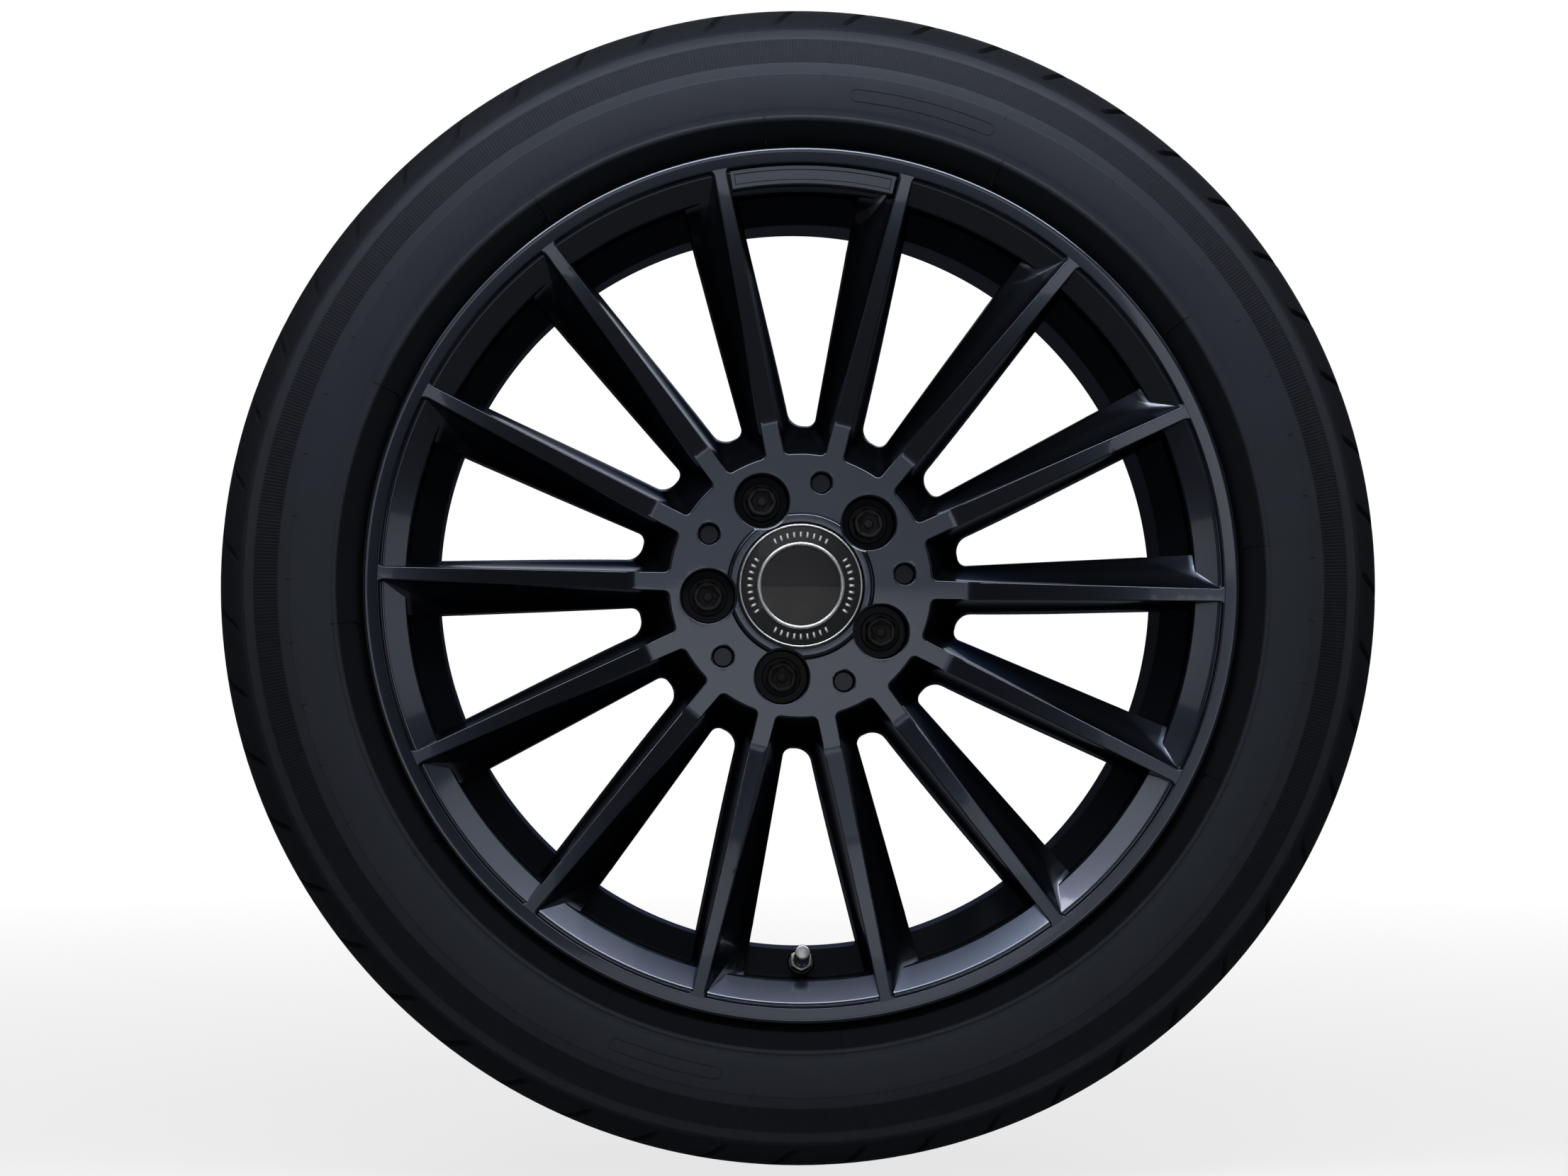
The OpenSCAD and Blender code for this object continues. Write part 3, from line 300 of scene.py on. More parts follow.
def rounded(points, radius, steps=2, closed=False):
    """The same line with each corner eased over at most radius on both sides."""
    points = [Vector(p) for p in points]
    last = len(points) - 1
    out = []
    for i, corner in enumerate(points):
        if not closed and i in (0, last):
            out.append(corner)
            continue
        before, after = points[i - 1], points[(i + 1) % len(points)]
        reach_in = min(radius, (before - corner).length * 0.45)
        reach_out = min(radius, (after - corner).length * 0.45)
        a = corner + (before - corner).normalized() * reach_in
        b = corner + (after - corner).normalized() * reach_out
        if (corner - before).angle(after - corner, 0) < math.radians(9):
            out.append(corner)
            continue
        for k in range(steps + 1):
            t = k / steps
            out.append(a * (1 - t) ** 2 + corner * 2 * t * (1 - t) + b * t ** 2)
    return out


def arc(cr, cy, r, a0, a1, n):
    """Points on an arc in a profile, as in the part's source."""
    turns = [math.radians(mix(a0, a1, i / n)) for i in range(n + 1)]
    return [[cr + r * math.cos(a), cy + r * math.sin(a)] for a in turns]


def verts_in(geometry):
    return [v for v in geometry if isinstance(v, bmesh.types.BMVert)]


def spin_profile(bm, profile, steps, closed=True, turn=360, start=0):
    """Turns a profile about the axle: each point is [radius, place along the axle] in mm."""
    a = math.radians(start)
    verts = [bm.verts.new((r * math.cos(a) * MM, y * MM, r * math.sin(a) * MM)) for r, y in profile]
    pairs = list(zip(verts, verts[1:])) + ([(verts[-1], verts[0])] if closed else [])
    edges = [bm.edges.new(pair) for pair in pairs]
    full = abs(turn) >= 360
    made = bmesh.ops.spin(bm, geom=verts + edges, cent=(0, 0, 0), axis=(0, -1, 0), dvec=(0, 0, 0),
                          angle=math.radians(turn), steps=steps, use_merge=full, use_duplicate=False)
    if not full:
        bmesh.ops.contextual_create(bm, geom=edges)
        bmesh.ops.contextual_create(bm, geom=[e for e in made["geom_last"] if isinstance(e,
                                                                                         bmesh.types.BMEdge)])
    bmesh.ops.remove_doubles(bm, verts=bm.verts, dist=0.2e-6)
    bmesh.ops.recalc_face_normals(bm, faces=bm.faces)


def piece(name, bm):
    """Turns a bmesh into an object whose place is in its mesh."""
    mesh = bpy.data.meshes.new(name)
    for face in bm.faces:
        face.smooth = True
    bm.to_mesh(mesh)
    bm.free()
    mesh.set_sharp_from_angle(angle=math.radians(30))
    made = bpy.data.objects.new(name, mesh)
    bpy.context.scene.collection.objects.link(made)
    return made


def cut(body, *tools, operation="DIFFERENCE"):
    """Cuts or joins tools and body, keeps the result in body and throws the tools away."""
    for tool in tools:
        step = body.modifiers.new(tool.name, "BOOLEAN")
        step.operation, step.solver, step.object = operation, "MANIFOLD", tool
    result = bpy.data.meshes.new_from_object(body.evaluated_get(bpy.context.evaluated_depsgraph_get()))
    old = body.data
    body.modifiers.clear()
    body.data = result
    bpy.data.meshes.remove(old)
    for tool in tools:
        bpy.data.meshes.remove(tool.data)
    return body


def turn_about_axle(degrees):
    """A turn counter-clockwise as seen from the outer side."""
    return Matrix.Rotation(-math.radians(degrees), 4, "Y")


def repeat(bm, count, step):
    """Copies everything in bm round the axle, count in all."""
    first = list(bm.verts) + list(bm.edges) + list(bm.faces)
    for k in range(1, count):
        copy = bmesh.ops.duplicate(bm, geom=first)["geom"]
        bmesh.ops.transform(bm, matrix=turn_about_axle(k * step), verts=verts_in(copy))


def ring_of(name, bm, count):
    """A piece made of count copies of what bm holds, evenly round the axle."""
    repeat(bm, count, 360 / count)
    return piece(name, bm)


def shift(x, y, z):
    """A move by millimetres."""
    return Matrix.Translation((x * MM, y * MM, z * MM))


def add_part(bm, part):
    """Adds what a second bmesh holds to bm and frees it."""
    shell = bpy.data.meshes.new("shell")
    part.to_mesh(shell)
    part.free()
    bm.from_mesh(shell)
    bpy.data.meshes.remove(shell)


def settle(made, material, body, slot, *replaced, smooth=30):
    """Gives a finished piece its finish and its body, and hides the nodes it stands for."""
    mesh = made.data
    mesh.materials.clear()
    mesh.materials.append(material)
    for face in mesh.polygons:
        face.use_smooth = True
    mesh.set_sharp_from_angle(angle=math.radians(smooth))
    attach(made, body)
    if replaced:
        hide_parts(*replaced)
    triangles = sum(len(p.vertices) - 2 for p in mesh.polygons)
    print(f"{made.name}: {triangles} triangles")
    return made


print("helpers ready")

# %% [markdown]
# # The rim's main sizes
# A casting like this is one piece, so one mesh stands for it. These are the sizes that its openings
# and rings share. A window is drawn as a closed line of [radius, angle] round its own middle.
# low is the side next to the broad, sloping flank of one spoke, and high the side next to the steep
# flank of the other. w and s say how deep the line lies between the face and the crease.

# %% Sizes of the rim
seat_r = 241.3
flange_r = seat_r + 17.5
well_r = seat_r - 18
bead_y, lip_y = 101.6, 114.6
edge_r, edge_y = 234.0, -99.0
band_in_r, band_in_y = 249.8, -113.0
band_out_r, band_out_y = 257.0, -114.4
slope_top_r, slope_top_y = 246.8, -110.4
hub_y, hub_flat_r = -76.0, 101.0
collar_y, collar_r = -79.0, 44.2
mount_y = -43.0
spokes = 14
pitch = 360 / spokes
bead_fillet, curl = 6.5, 9.5
rim_steps = 252


def front_y(r):
    t = max(0.0, min(1.0, (r - hub_flat_r) / (band_in_r - hub_flat_r)))
    return mix(hub_y, band_in_y, t) - 16 * t * (1 - t)


def along(r):
    return (r - hub_flat_r) / (band_in_r - hub_flat_r)


def low(r, w):
    face, crease = mix(2.4, -2.9, along(r)), mix(12.8, 18.8, along(r))
    return -pitch / 2 + math.degrees(math.asin(mix(face, crease, w) / r))


def high(r, s):
    face, back = mix(8.4, 10.2, along(r)), mix(18.2, 14.9, along(r))
    return pitch / 2 - math.degrees(math.asin(mix(face, back, s) / r))


def deg_at(r, length):
    return math.degrees(length / r)


def section(ro, ri, w, s, scoop, reach, rs, rl, rh):
    """One closed line round a window, always with the same number of points."""
    line = []
    quarter = [i / 7 for i in range(8)]
    for t in quarter:
        a = math.radians(90 * (1 - t))
        r = ri + rl - rl * math.sin(a)
        line.append((r, low(r, w) + deg_at(r, rl * (1 - math.cos(a)))))
    for i in range(1, 18):
        r = mix(ri + rl, ro - scoop, i / 18)
        line.append((r, low(r, w)))
    for i in range(15):
        a = math.radians(90 * i / 14)
        r = ro - scoop + scoop * math.sin(a)
        line.append((r, low(r, w) + deg_at(r, reach * (1 - math.cos(a)))))
    for i in range(1, 18):
        line.append((ro, mix(low(ro, w) + deg_at(ro, reach), high(ro, s) - deg_at(ro, rs), i / 18)))
    for t in quarter:
        a = math.radians(90 * (1 - t))
        r = ro - rs + rs * math.sin(a)
        line.append((r, high(r, s) - deg_at(r, rs * (1 - math.cos(a)))))
    for i in range(1, 22):
        r = mix(ro - rs, ri + rh, i / 22)
        line.append((r, high(r, s)))
    for t in quarter:
        a = math.radians(90 * t)
        r = ri + rh - rh * math.sin(a)
        line.append((r, high(r, s) - deg_at(r, rh * (1 - math.cos(a)))))
    for i in range(1, 4):
        line.append((ri, mix(high(ri, s) - deg_at(ri, rh), low(ri, w) + deg_at(ri, rl), i / 4)))
    return line


def placed(line, sunk, flat=None):
    """Points in space, in mm: sunk is how far behind the rim's front face they lie."""
    return [Vector((r * math.cos(math.radians(a)), front_y(r) + sunk if flat is None else flat,
                    r * math.sin(math.radians(a)))) for r, a in line]


print("points round a window:", len(section(250, 80, 0, 0, 4, 4, 4, 3, 3)))

# %% [markdown]
# # A window cutter
# The window's wall runs from a small rounded lip down a broad flank to a crease, and then nearly
# straight back. The cutter is made as a pattern maker would build a core: a ring of points that is
# extruded again and again, each time moved to the next line. The lip flares outwards over the face
# so that cutting leaves a rounded edge rather than a knife edge.

# %% Window rings
crease_depth = 23.0
back_share = crease_depth / 31.0
bevel_in = 79 + 2.4
crease_in = mix(bevel_in, 102.4, back_share)
back_w = 1 + 2.2 / (18.8 + 2.9)
lip = 0.9


def flared(line, by):
    """The line moved outwards by a distance, seen from the front."""
    flat = [Vector((r * math.cos(math.radians(a)), r * math.sin(math.radians(a)))) for r, a in line]
    out = []
    for i, p in enumerate(flat):
        along_line = flat[(i + 1) % len(flat)] - flat[i - 1]
        side = Vector((along_line.y, -along_line.x)).normalized() * by
        q = p + side
        out.append((q.length, math.degrees(math.atan2(q.y, q.x))))
    return out


def window_rings():
    face = section(band_in_r + 0.5, 79, 0, 0, 4, 4, 4, 3, 3)
    mouth = section(band_in_r + 0.5, bevel_in, 0.05, 0.03, 6, 4, 4, 3, 3)
    edge = section(edge_r + 1.6, mix(bevel_in, crease_in, 0.5), 0.54, 0.32, 14.3, 7, 3, 4, 5)
    crease = section(edge_r + 0.6, crease_in, 1, back_share, 34, 10, 3, 4.5, 7)
    bottom = section(edge_r + 0.7, 103.4, back_w, 1.25, 34, 10, 3, 5, 9)
    test = flared(face, 1.0)
    outwards = 1 if sum(t[0] for t in test[40:55]) > sum(t[0] for t in face[40:55]) else -1
    start = placed(flared(face, lip * outwards), -0.035)
    keys = [start, placed(face, -0.02), placed(mouth, 2.4), placed(edge, edge_y - band_in_y),
            placed(crease, crease_depth), placed(bottom, 0, -15.0)]
    columns = []
    for flare, corner, inner, bend, fold, end in zip(*keys):
        column = []
        down = corner + (inner - corner).normalized() * lip
        for t in (0, 0.25, 0.5, 0.75, 1):
            column.append(flare * (1 - t) ** 2 + corner * 2 * t * (1 - t) + down * t ** 2)
        middle = 0.56
        for t in (0.0, 0.12, 0.25, 0.4, 0.56, 0.72, 0.86, 0.965):
            column.append(inner * ((t - middle) * (t - 1) / middle)
                          + bend * (t * (t - 1) / (middle * (middle - 1)))
                          + fold * (t * (t - middle) / (1 - middle)))
        column += [fold + (end - fold).normalized() * 0.8, end]
        columns.append(column)
    rings = [list(ring) for ring in zip(*columns)]
    return [[Vector((p.x, -134.0, p.z)) for p in rings[0]]] + rings


def extruded_rings(bm, rings, capped=True):
    """Builds a skin through rings of points by extruding the first one along them."""
    ring = bmesh.ops.create_circle(bm, cap_ends=capped, segments=len(rings[0]), radius=1)["verts"]
    for vert, p in zip(ring, rings[0]):
        vert.co = p * MM
    edges = [e for e in bm.edges if e.verts[0] in ring and e.verts[1] in ring]
    for points in rings[1:]:
        made = bmesh.ops.extrude_edge_only(bm, edges=edges)["geom"]
        fresh = set(verts_in(made))
        following = []
        for vert, p in zip(ring, points):
            after = next(e.other_vert(vert) for e in vert.link_edges if e.other_vert(vert) in fresh)
            after.co = p * MM
            following.append(after)
        ring = following
        edges = [e for e in made if isinstance(e, bmesh.types.BMEdge)
                 and e.verts[0] in fresh and e.verts[1] in fresh]
    if capped:
        bmesh.ops.contextual_create(bm, geom=edges)


def lofted(rings):
    """A new bmesh that holds one closed skin through rings of points."""
    bm = bmesh.new()
    extruded_rings(bm, rings)
    bmesh.ops.recalc_face_normals(bm, faces=bm.faces)
    return bm


def windows():
    bm = lofted(window_rings())
    bmesh.ops.transform(bm, matrix=turn_about_axle(90), verts=bm.verts)
    return ring_of("windows", bm, spokes)


def scoop_trims():
    """What opens the far side of each scoop, so that it ends in the crease of the spoke."""
    r0, r1, r2 = edge_r - 44, edge_r - 27.2, edge_r + 1.7

    def outline(w):
        return [(r0, low(r0, w) + deg_at(r0, 1)), (r1, low(r1, w) - deg_at(r1, 0.05)),
                (r2, low(r2, w) - deg_at(r2, 0.05)), (r2 + 0.1, low(r2, w) + deg_at(r2, 14)),
                (r1, low(r1, w) + deg_at(r1, 14))]

    bm = lofted([placed(outline(1), 0, -133.0), placed(outline(1), crease_depth),
                 placed(outline(back_w), 0, -16.0)])
    bmesh.ops.transform(bm, matrix=turn_about_axle(90), verts=bm.verts)
    return ring_of("scoop_trims", bm, spokes)


print("rings in a window:", len(window_rings()))

# %% [markdown]
# # The rim
# Disc and barrel are two turned bodies. The windows are cut from the disc alone, because the barrel
# behind them is whole, and the two are joined afterwards, as the casting joins them.

# %% Disc and barrel
hump_y = bead_y - 22
well_top_y = -(hump_y - 2.8)
well_start_y = well_top_y + 5.5
well_end_y = well_start_y + 24
leg_r = seat_r - 5.4
leg_start_y, leg_end_y = well_end_y + 20, hump_y - 7
well_in_r, leg_in_r, rear_in_r = well_r - 6, leg_r - 6, seat_r - 6.6
curl_r, curl_y = flange_r - curl, bead_y + curl


def disc():
    steps = 26
    front = [[r, front_y(r)] for r in (mix(hub_flat_r + 3, band_in_r, i / steps) for i in range(steps + 1))]
    hub = [[0, collar_y], [30, collar_y], *arc(collar_r - 2.6, collar_y + 2.6, 2.6, -90, 0, 6),
           [collar_r, hub_y - 0.35], [collar_r + 0.15, hub_y - 0.1], [collar_r + 0.45, hub_y], [56, hub_y],
           [70, hub_y],
           [84, hub_y], [hub_flat_r - 3, hub_y], [hub_flat_r, hub_y - 0.12]]
    rim_side = [[band_in_r + 1, band_in_y + 0.6], [band_in_r - 1.4, -bead_y - 5.4],
                [edge_r + 9, -bead_y - 0.8],
                [edge_r + 3.4, -bead_y + 4], [edge_r + 3, well_top_y - 6], [well_r + 6, well_top_y - 1],
                [well_r - 1.4, well_top_y + 3], [well_r - 3, well_start_y + 6], [well_r - 3, -58]]
    back = [[190, -54.4], [hub_flat_r + 55, -48.6], [125, -46.3], [hub_flat_r, -45], [79, -45], [76.6, -44.6],
            [75.9, mount_y + 0.1], [75.4, mount_y], [60, mount_y], [0, mount_y]]
    bm = bmesh.new()
    spin_profile(bm, hub + front + rim_side + back, rim_steps, closed=False)
    return piece("rim", bm)


def barrel():
    outer = [[band_in_r - 0.2, band_in_y + 0.05], [band_in_r + 0.4, band_in_y - 0.1],
             [band_out_r - 0.6, band_out_y],
             [band_out_r + 0.6, band_out_y + 0.25], [flange_r - 0.4, band_out_y + 0.9],
             [flange_r, -(lip_y - 2)]]
    outer += arc(curl_r, -curl_y, curl, 0, 90, 10)
    outer += arc(seat_r + bead_fillet, -(bead_y - bead_fillet), bead_fillet, 270, 180, 7)
    outer += [[seat_r - 0.6, -(hump_y + 4)], [seat_r + 0.8, -(hump_y + 1)], [seat_r + 0.8, -(hump_y - 0.6)],
              [seat_r - 1.8, well_top_y], [well_r + 2, well_start_y - 1.4], [well_r, well_start_y + 1]]
    rear = [[well_r, well_end_y], [leg_r, leg_start_y], [leg_r, leg_end_y], [seat_r + 0.8, hump_y - 1],
            [seat_r + 0.8, hump_y + 1], [seat_r - 0.6, hump_y + 4]]
    rear += arc(seat_r + bead_fillet, bead_y - bead_fillet, bead_fillet, 180, 90, 7)
    rear += arc(curl_r, curl_y, curl, 270, 360, 10)
    rear += [[flange_r, lip_y - 1.6], [flange_r - 1, lip_y - 0.4], [flange_r - 3, lip_y]]
    side_in = mix(0, 5.5, (edge_r - well_in_r) / 18)
    inside = [[flange_r - 6.5, lip_y - 1], [curl_r - 4.6, bead_y + 6], [rear_in_r, bead_y - 6],
              [rear_in_r, hump_y - 1], [leg_in_r, leg_end_y - 2], [leg_in_r, leg_start_y - 2],
              [well_in_r, well_end_y - 3], [well_in_r, well_start_y - 4.6],
              [edge_r, well_start_y - 4.6 - side_in], [edge_r, edge_y],
              [slope_top_r, slope_top_y], [slope_top_r + 0.7, slope_top_y + 0.5],
              [slope_top_r + 1.6, slope_top_y],
              [band_in_r - 0.7, band_in_y + 0.9]]
    bm = bmesh.new()
    spin_profile(bm, rounded(outer + rear + inside, 1.1, 2, closed=True), rim_steps)
    return piece("barrel", bm)


def name_plate():
    """The raised panel in the topmost window, left bare, with its border."""
    start = low(edge_r, 0) + deg_at(edge_r, 2)
    turn = high(edge_r, 0) - deg_at(edge_r, 1.6) - start
    face = band_in_y + 2.4
    profile = [[edge_r + 2.6, face + 0.8], [edge_r + 3.4, face], [slope_top_r + 1, face],
               [slope_top_r + 1, edge_y - 5], [edge_r + 3.6, edge_y - 1], [edge_r + 2.6, edge_y - 2]]
    bm = bmesh.new()
    spin_profile(bm, profile, 24, turn=turn, start=90 + start)
    front = [f for f in bm.faces if f.normal.y < -0.99]
    even = {"use_even_offset": True, "use_boundary": True}
    bmesh.ops.inset_region(bm, faces=front, thickness=2.0 * MM, depth=0, **even)
    middle = [f for f in bm.faces if f.normal.y < -0.99 and f in front]
    bmesh.ops.inset_region(bm, faces=middle, thickness=0.5 * MM, depth=-0.5 * MM, **even)
    bmesh.ops.recalc_face_normals(bm, faces=bm.faces)
    return piece("name_plate", bm)


print("flange at", flange_r, "mm and well at", well_r, "mm from the axle")

# %% [markdown]
# # The rim's holes
# The holes come last: the stepped bore, five seats for the bolts, five blind holes, the pockets
# behind the hub that save weight, a channel along the back of every spoke, and the valve's hole.
# Each is a body of its own that one Boolean takes out of the rim, as a drill or a core would.

# %% Holes of the rim
UPRIGHT = Matrix.Rotation(math.radians(90), 4, "X")
bolt_r, bolt_angle, bolt_step = 56.0, 114.5, 72.0
bolt_y = hub_y + 19
ball_r, ball_top_r, bolt_hole_r = 14.0, 11.8, 8.2
ball_rise = math.sqrt(ball_r ** 2 - ball_top_r ** 2) - 2.5
valve_r, valve_tilt = 226.0, 16.0
valve_mid_y = well_top_y + (seat_r - 1.8 - valve_r) / (seat_r - 1.8 - well_r) * 5.5 - 3.3


def at_bolt(i):
    """From a bolt's own place, with its axis along Z, to its seat in the hub."""
    return turn_about_axle(bolt_angle - bolt_step * i) @ shift(bolt_r, bolt_y, 0) @ UPRIGHT


def at_valve():
    """From the valve's own place, with its axis along Z, to its hole in the well's side."""
    return turn_about_axle(270) @ shift(valve_r, valve_mid_y, 0) \
        @ Matrix.Rotation(-math.radians(valve_tilt), 4, "Z") @ UPRIGHT


def upright(bm, profile, steps, place):
    """Turns [radius, height] about Z and puts the result somewhere."""
    part = bmesh.new()
    spin_profile(part, profile, steps, closed=abs(profile[0][0]) > 1e-9)
    bmesh.ops.transform(part, matrix=place @ UPRIGHT, verts=part.verts)
    bmesh.ops.recalc_face_normals(part, faces=part.faces)
    add_part(bm, part)


def bolt_cuts():
    bm = bmesh.new()
    seat = arc(0, ball_rise, ball_r, -math.degrees(math.asin((ball_rise + 3) / ball_r)),
               -math.degrees(math.acos(bolt_hole_r / ball_r)), 8)
    profile = [[0, 27], [18.2, 27], [17.6, 19.25], [17.1, 18.95], *arc(17.2, 18.0, 1.0, 90, 180, 4),
               [16.2, 16],
               [16.2, -2.4], [15.6, -3.0], *seat, [bolt_hole_r, seat[-1][1] - 20], [0, seat[-1][1] - 20]]
    for i in range(5):
        upright(bm, profile, 72, at_bolt(i))
    return piece("bolt_cuts", bm)


def blind_holes():
    bm = bmesh.new()
    for i in range(5):
        place = turn_about_axle(bolt_angle - bolt_step * (i + 0.5)) @ shift(63.2, hub_y, 0) @ UPRIGHT
        upright(bm, [[0, 3], [8.2, 3], [7.6, 0.2], [6.9, -0.15], [6.35, -0.6], [6.05, -1.3], [6, -2.2],
                     [6, -10.4],
                     [5.4, -11], [0, -11]], 48, place)
    return piece("blind_holes", bm)


def bore():
    bm = bmesh.new()
    recess_r, recess_y, neck_y, snap_y = 37.8, -72.0, -66.0, -59.0
    profile = [[0, collar_y - 5], [recess_r + 1.1, collar_y - 5], [recess_r + 1.0, collar_y - 0.1],
               [recess_r + 0.35, collar_y + 0.2], [recess_r, collar_y + 0.9], [recess_r, recess_y],
               [34.2, recess_y],
               [34.2, neck_y], [36.5, neck_y], [36.5, snap_y], [33.3, snap_y + 2], [33.3, mount_y - 1.5],
               [34.8, mount_y], [34.8, mount_y + 5], [0, mount_y + 5]]
    spin_profile(bm, profile, rim_steps, closed=False)
    return piece("bore", bm)


def trimmed(x0, x1, width, corner):
    """A rectangle with cut corners, as flat points."""
    h = width / 2
    return [(x0 + corner, -h), (x1 - corner, -h), (x1, corner - h), (x1, h - corner),
            (x1 - corner, h), (x0 + corner, h), (x0, h - corner), (x0, corner - h)]


def pocket(bm, outline, depth, place):
    """A pocket with rounded corners: outline is extruded along Z and put in place."""
    soft = rounded(outline, 3.0, 3, closed=True)
    part = lofted([[Vector((p.x, p.y, z)) for p in soft] for z in (0, depth)])
    bmesh.ops.transform(part, matrix=place, verts=part.verts)
    add_part(bm, part)


def rear_pockets():
    bm = bmesh.new()
    for i in range(5):
        pocket(bm, trimmed(54, 69, 28, 7), 11, turn_about_axle(bolt_angle - bolt_step * (i + 0.5))
               @ shift(0, mount_y + 1, 0) @ UPRIGHT)
    return piece("rear_pockets", bm)


def spoke_channels():
    bm = bmesh.new()
    r0, r1 = hub_flat_r + 10, well_in_r - 8
    fall = math.atan((front_y(r1) - front_y(r0)) / (r1 - r0))
    for k in range(spokes):
        pocket(bm, trimmed(0, r1 - r0, 11, 3.5), 60, turn_about_axle(90 + (k + 0.5) * pitch)
               @ shift(r0, front_y(r0) + 23, -3.2)
               @ Matrix.Rotation(fall, 4, "Z") @ Matrix.Rotation(-math.radians(90), 4, "X"))
    return piece("spoke_channels", bm)


def valve_cuts():
    bm = bmesh.new()
    upright(bm, [[0, 14.3], [8.1, 14.3], [8.1, 2.9], [7.5, 2.3], [5.75, 2.3], [5.75, -2.3], [8.3, -2.3],
                 [8.3, -11.3],
                 [5.75, -11.3], [5.75, -30], [0, -30]], 48, at_valve())
    return piece("valve_cuts", bm)


rim = disc()
cut(rim, windows(), scoop_trims())
cut(rim, barrel(), name_plate(), operation="UNION")
cut(rim, bore(), bolt_cuts(), blind_holes(), rear_pockets(), spoke_channels(), valve_cuts())
even = rim.modifiers.new("even light on broad faces", "WEIGHTED_NORMAL")
even.weight, even.keep_sharp = 90, True
settle(rim, RIM, "wheel", "rim_paint", "rim", smooth=28)

# %% [markdown]
# # The tyre
# A low, wide tyre comes from one mould, so it is one turned body with the grooves cut into it. The
# profile carries the lines that the photograph shows: the bead zone, the rounded ridge that guards
# the rim, a thin raised line, a sunk band, and the shoulder. The ribbed band is 1020 fine ribs, which
# are one rib copied round the axle, kept to a few faces each.

# %% Tyre body
tyre_r, side_y = 351.5, 122.5


def tread_r(y):
    return tyre_r - 8 * (abs(y) / (side_y - 30.5)) ** 2.4


def tyre_half():
    f = flange_r
    bead = [[seat_r, -(hump_y + 3.4)],
            *arc(seat_r + bead_fillet, -(bead_y - bead_fillet), bead_fillet, 180, 270, 5),
            *arc(curl_r, -curl_y, curl, 90, 20, 6)]
    side = [[f + 0.9, -(bead_y + 8.2)], [f + 5, -(side_y - 10)], [f + 11, -(side_y - 6)],
            [f + 15, -(side_y - 3.4)],
            [f + 16.4, -(side_y - 2.6)], [f + 17.6, -(side_y - 3.2)], [f + 22, -(side_y - 1.6)],
            [f + 27, -(side_y - 0.8)],
            [f + 32, -(side_y - 0.3)], [f + 36, -(side_y - 0.12)], [f + 41, -side_y],
            [f + 41.2, -(side_y - 0.02)],
            [f + 41.7, -(side_y - 0.02)], [f + 42, -(side_y - 0.35)], [f + 48, -(side_y - 0.6)],
            [f + 48.3, -(side_y - 1.1)], [f + 52, -(side_y - 1.9)], [f + 56, -(side_y - 3)],
            [f + 59.6, -(side_y - 4.5)],
            [f + 63, -(side_y - 6.3)], [f + 63.3, -(side_y - 5.9)], [f + 69.2, -(side_y - 9.6)],
            [f + 69.4, -(side_y - 11)],
            [f + 70.2, -(side_y - 11.2)], [f + 70.6, -(side_y - 10.8)], [tyre_r - 18.2, -(side_y - 12.4)],
            [tyre_r - 15.6, -(side_y - 14.6)], [tyre_r - 13.3, -(side_y - 18)],
            [tyre_r - 11.2, -(side_y - 22)],
            [tyre_r - 9.4, -(side_y - 26)], [tyre_r - 8, -(side_y - 30.5)]]
    deep = 7.5
    tread = [[tread_r(y), -y] for y in (85, 75.5, 62.75)]
    tread += [[tread_r(62.75) - deep, -61.25], [tread_r(53.25) - deep, -54.75]]
    tread += [[tread_r(y), -y] for y in (53.25, 46, 40.5, 34, 27.75)]
    tread += [[tread_r(27.75) - deep, -26.25], [tread_r(18.25) - deep, -19.75]]
    tread += [[tread_r(18.25), -18.25], [tread_r(9), -9]]
    return bead + rounded(side, 0.5, 1)[1:] + rounded([side[-1], *tread], 0.8, 2)[1:]


def tyre_body():
    liner = [[336.5, 0], [333.9, -72.5], [327.5, -94.5], [321, -102], [314.5, -108], [298.5, -113],
             [284.8, -112.4],
             [266.8, -104.5], [250.8, -92.6], [244.3, -(hump_y + 3.6)]]
    outer = tyre_half()
    mirrored = [[p[0], -p[1]] for p in outer[::-1]]
    bm = bmesh.new()
    spin_profile(bm, outer + mirrored + [[r, -y] for r, y in liner[::-1]] + liner[1:], 255)
    return piece("tyre", bm)


print("points in half a tyre's profile:", len(tyre_half()))

# %% [markdown]
# # Grooves of the tread
# The slanted grooves of the shoulders and the thin sipes are cut, as the mould's blades form them.
# A groove is a loft through stations that narrow towards the sidewall, copied 51 times round.

# %% Grooves of the tread
grooves = 51
mean_r = 333


def groove_path(side):
    """Stations of one shoulder groove: angle, radius of its floor, place along the axle, half width."""
    stations = [(4.3, 331.0, 112.2, 0.35, 2.5), (2.4, 331.6, 111.8, 0.6, 3.0), (1.2, 332.0, 110.9, 1.1, 4.0),
                (0.35, 332.6, 107.5, 1.9, 6.0), (-0.1, 333.6, 103, 2.2, 8.0), (-0.7, 335.2, 96, 2.2, 9.5),
                (-1.6, 336.6, 86, 2.2, 10.5), (-2.6, 338.0, 75, 2.1, 11.0), (-3.3, 339.6, 65.5, 2.0, 11.0)]
    rings = []
    for i, (angle, floor, y, half, tall) in enumerate(stations):
        a, b = stations[max(0, i - 1)], stations[min(len(stations) - 1, i + 1)]
        run = Vector((math.radians(b[0] - a[0]) * mean_r, b[2] - a[2])).normalized()
        ring = []
        for across, up in ((-half * 0.8, 0), (half * 0.8, 0), (half, 1.2), (half * 1.06, tall + 6),
                           (-half * 1.06, tall + 6), (-half, 1.2)):
            r = floor + up
            turn = math.radians(angle + math.degrees(-across * run.y / mean_r))
            ring.append(Vector((r * math.cos(turn), -side * (y + across * run.x), r * math.sin(turn))))
        rings.append(ring)
    return rings


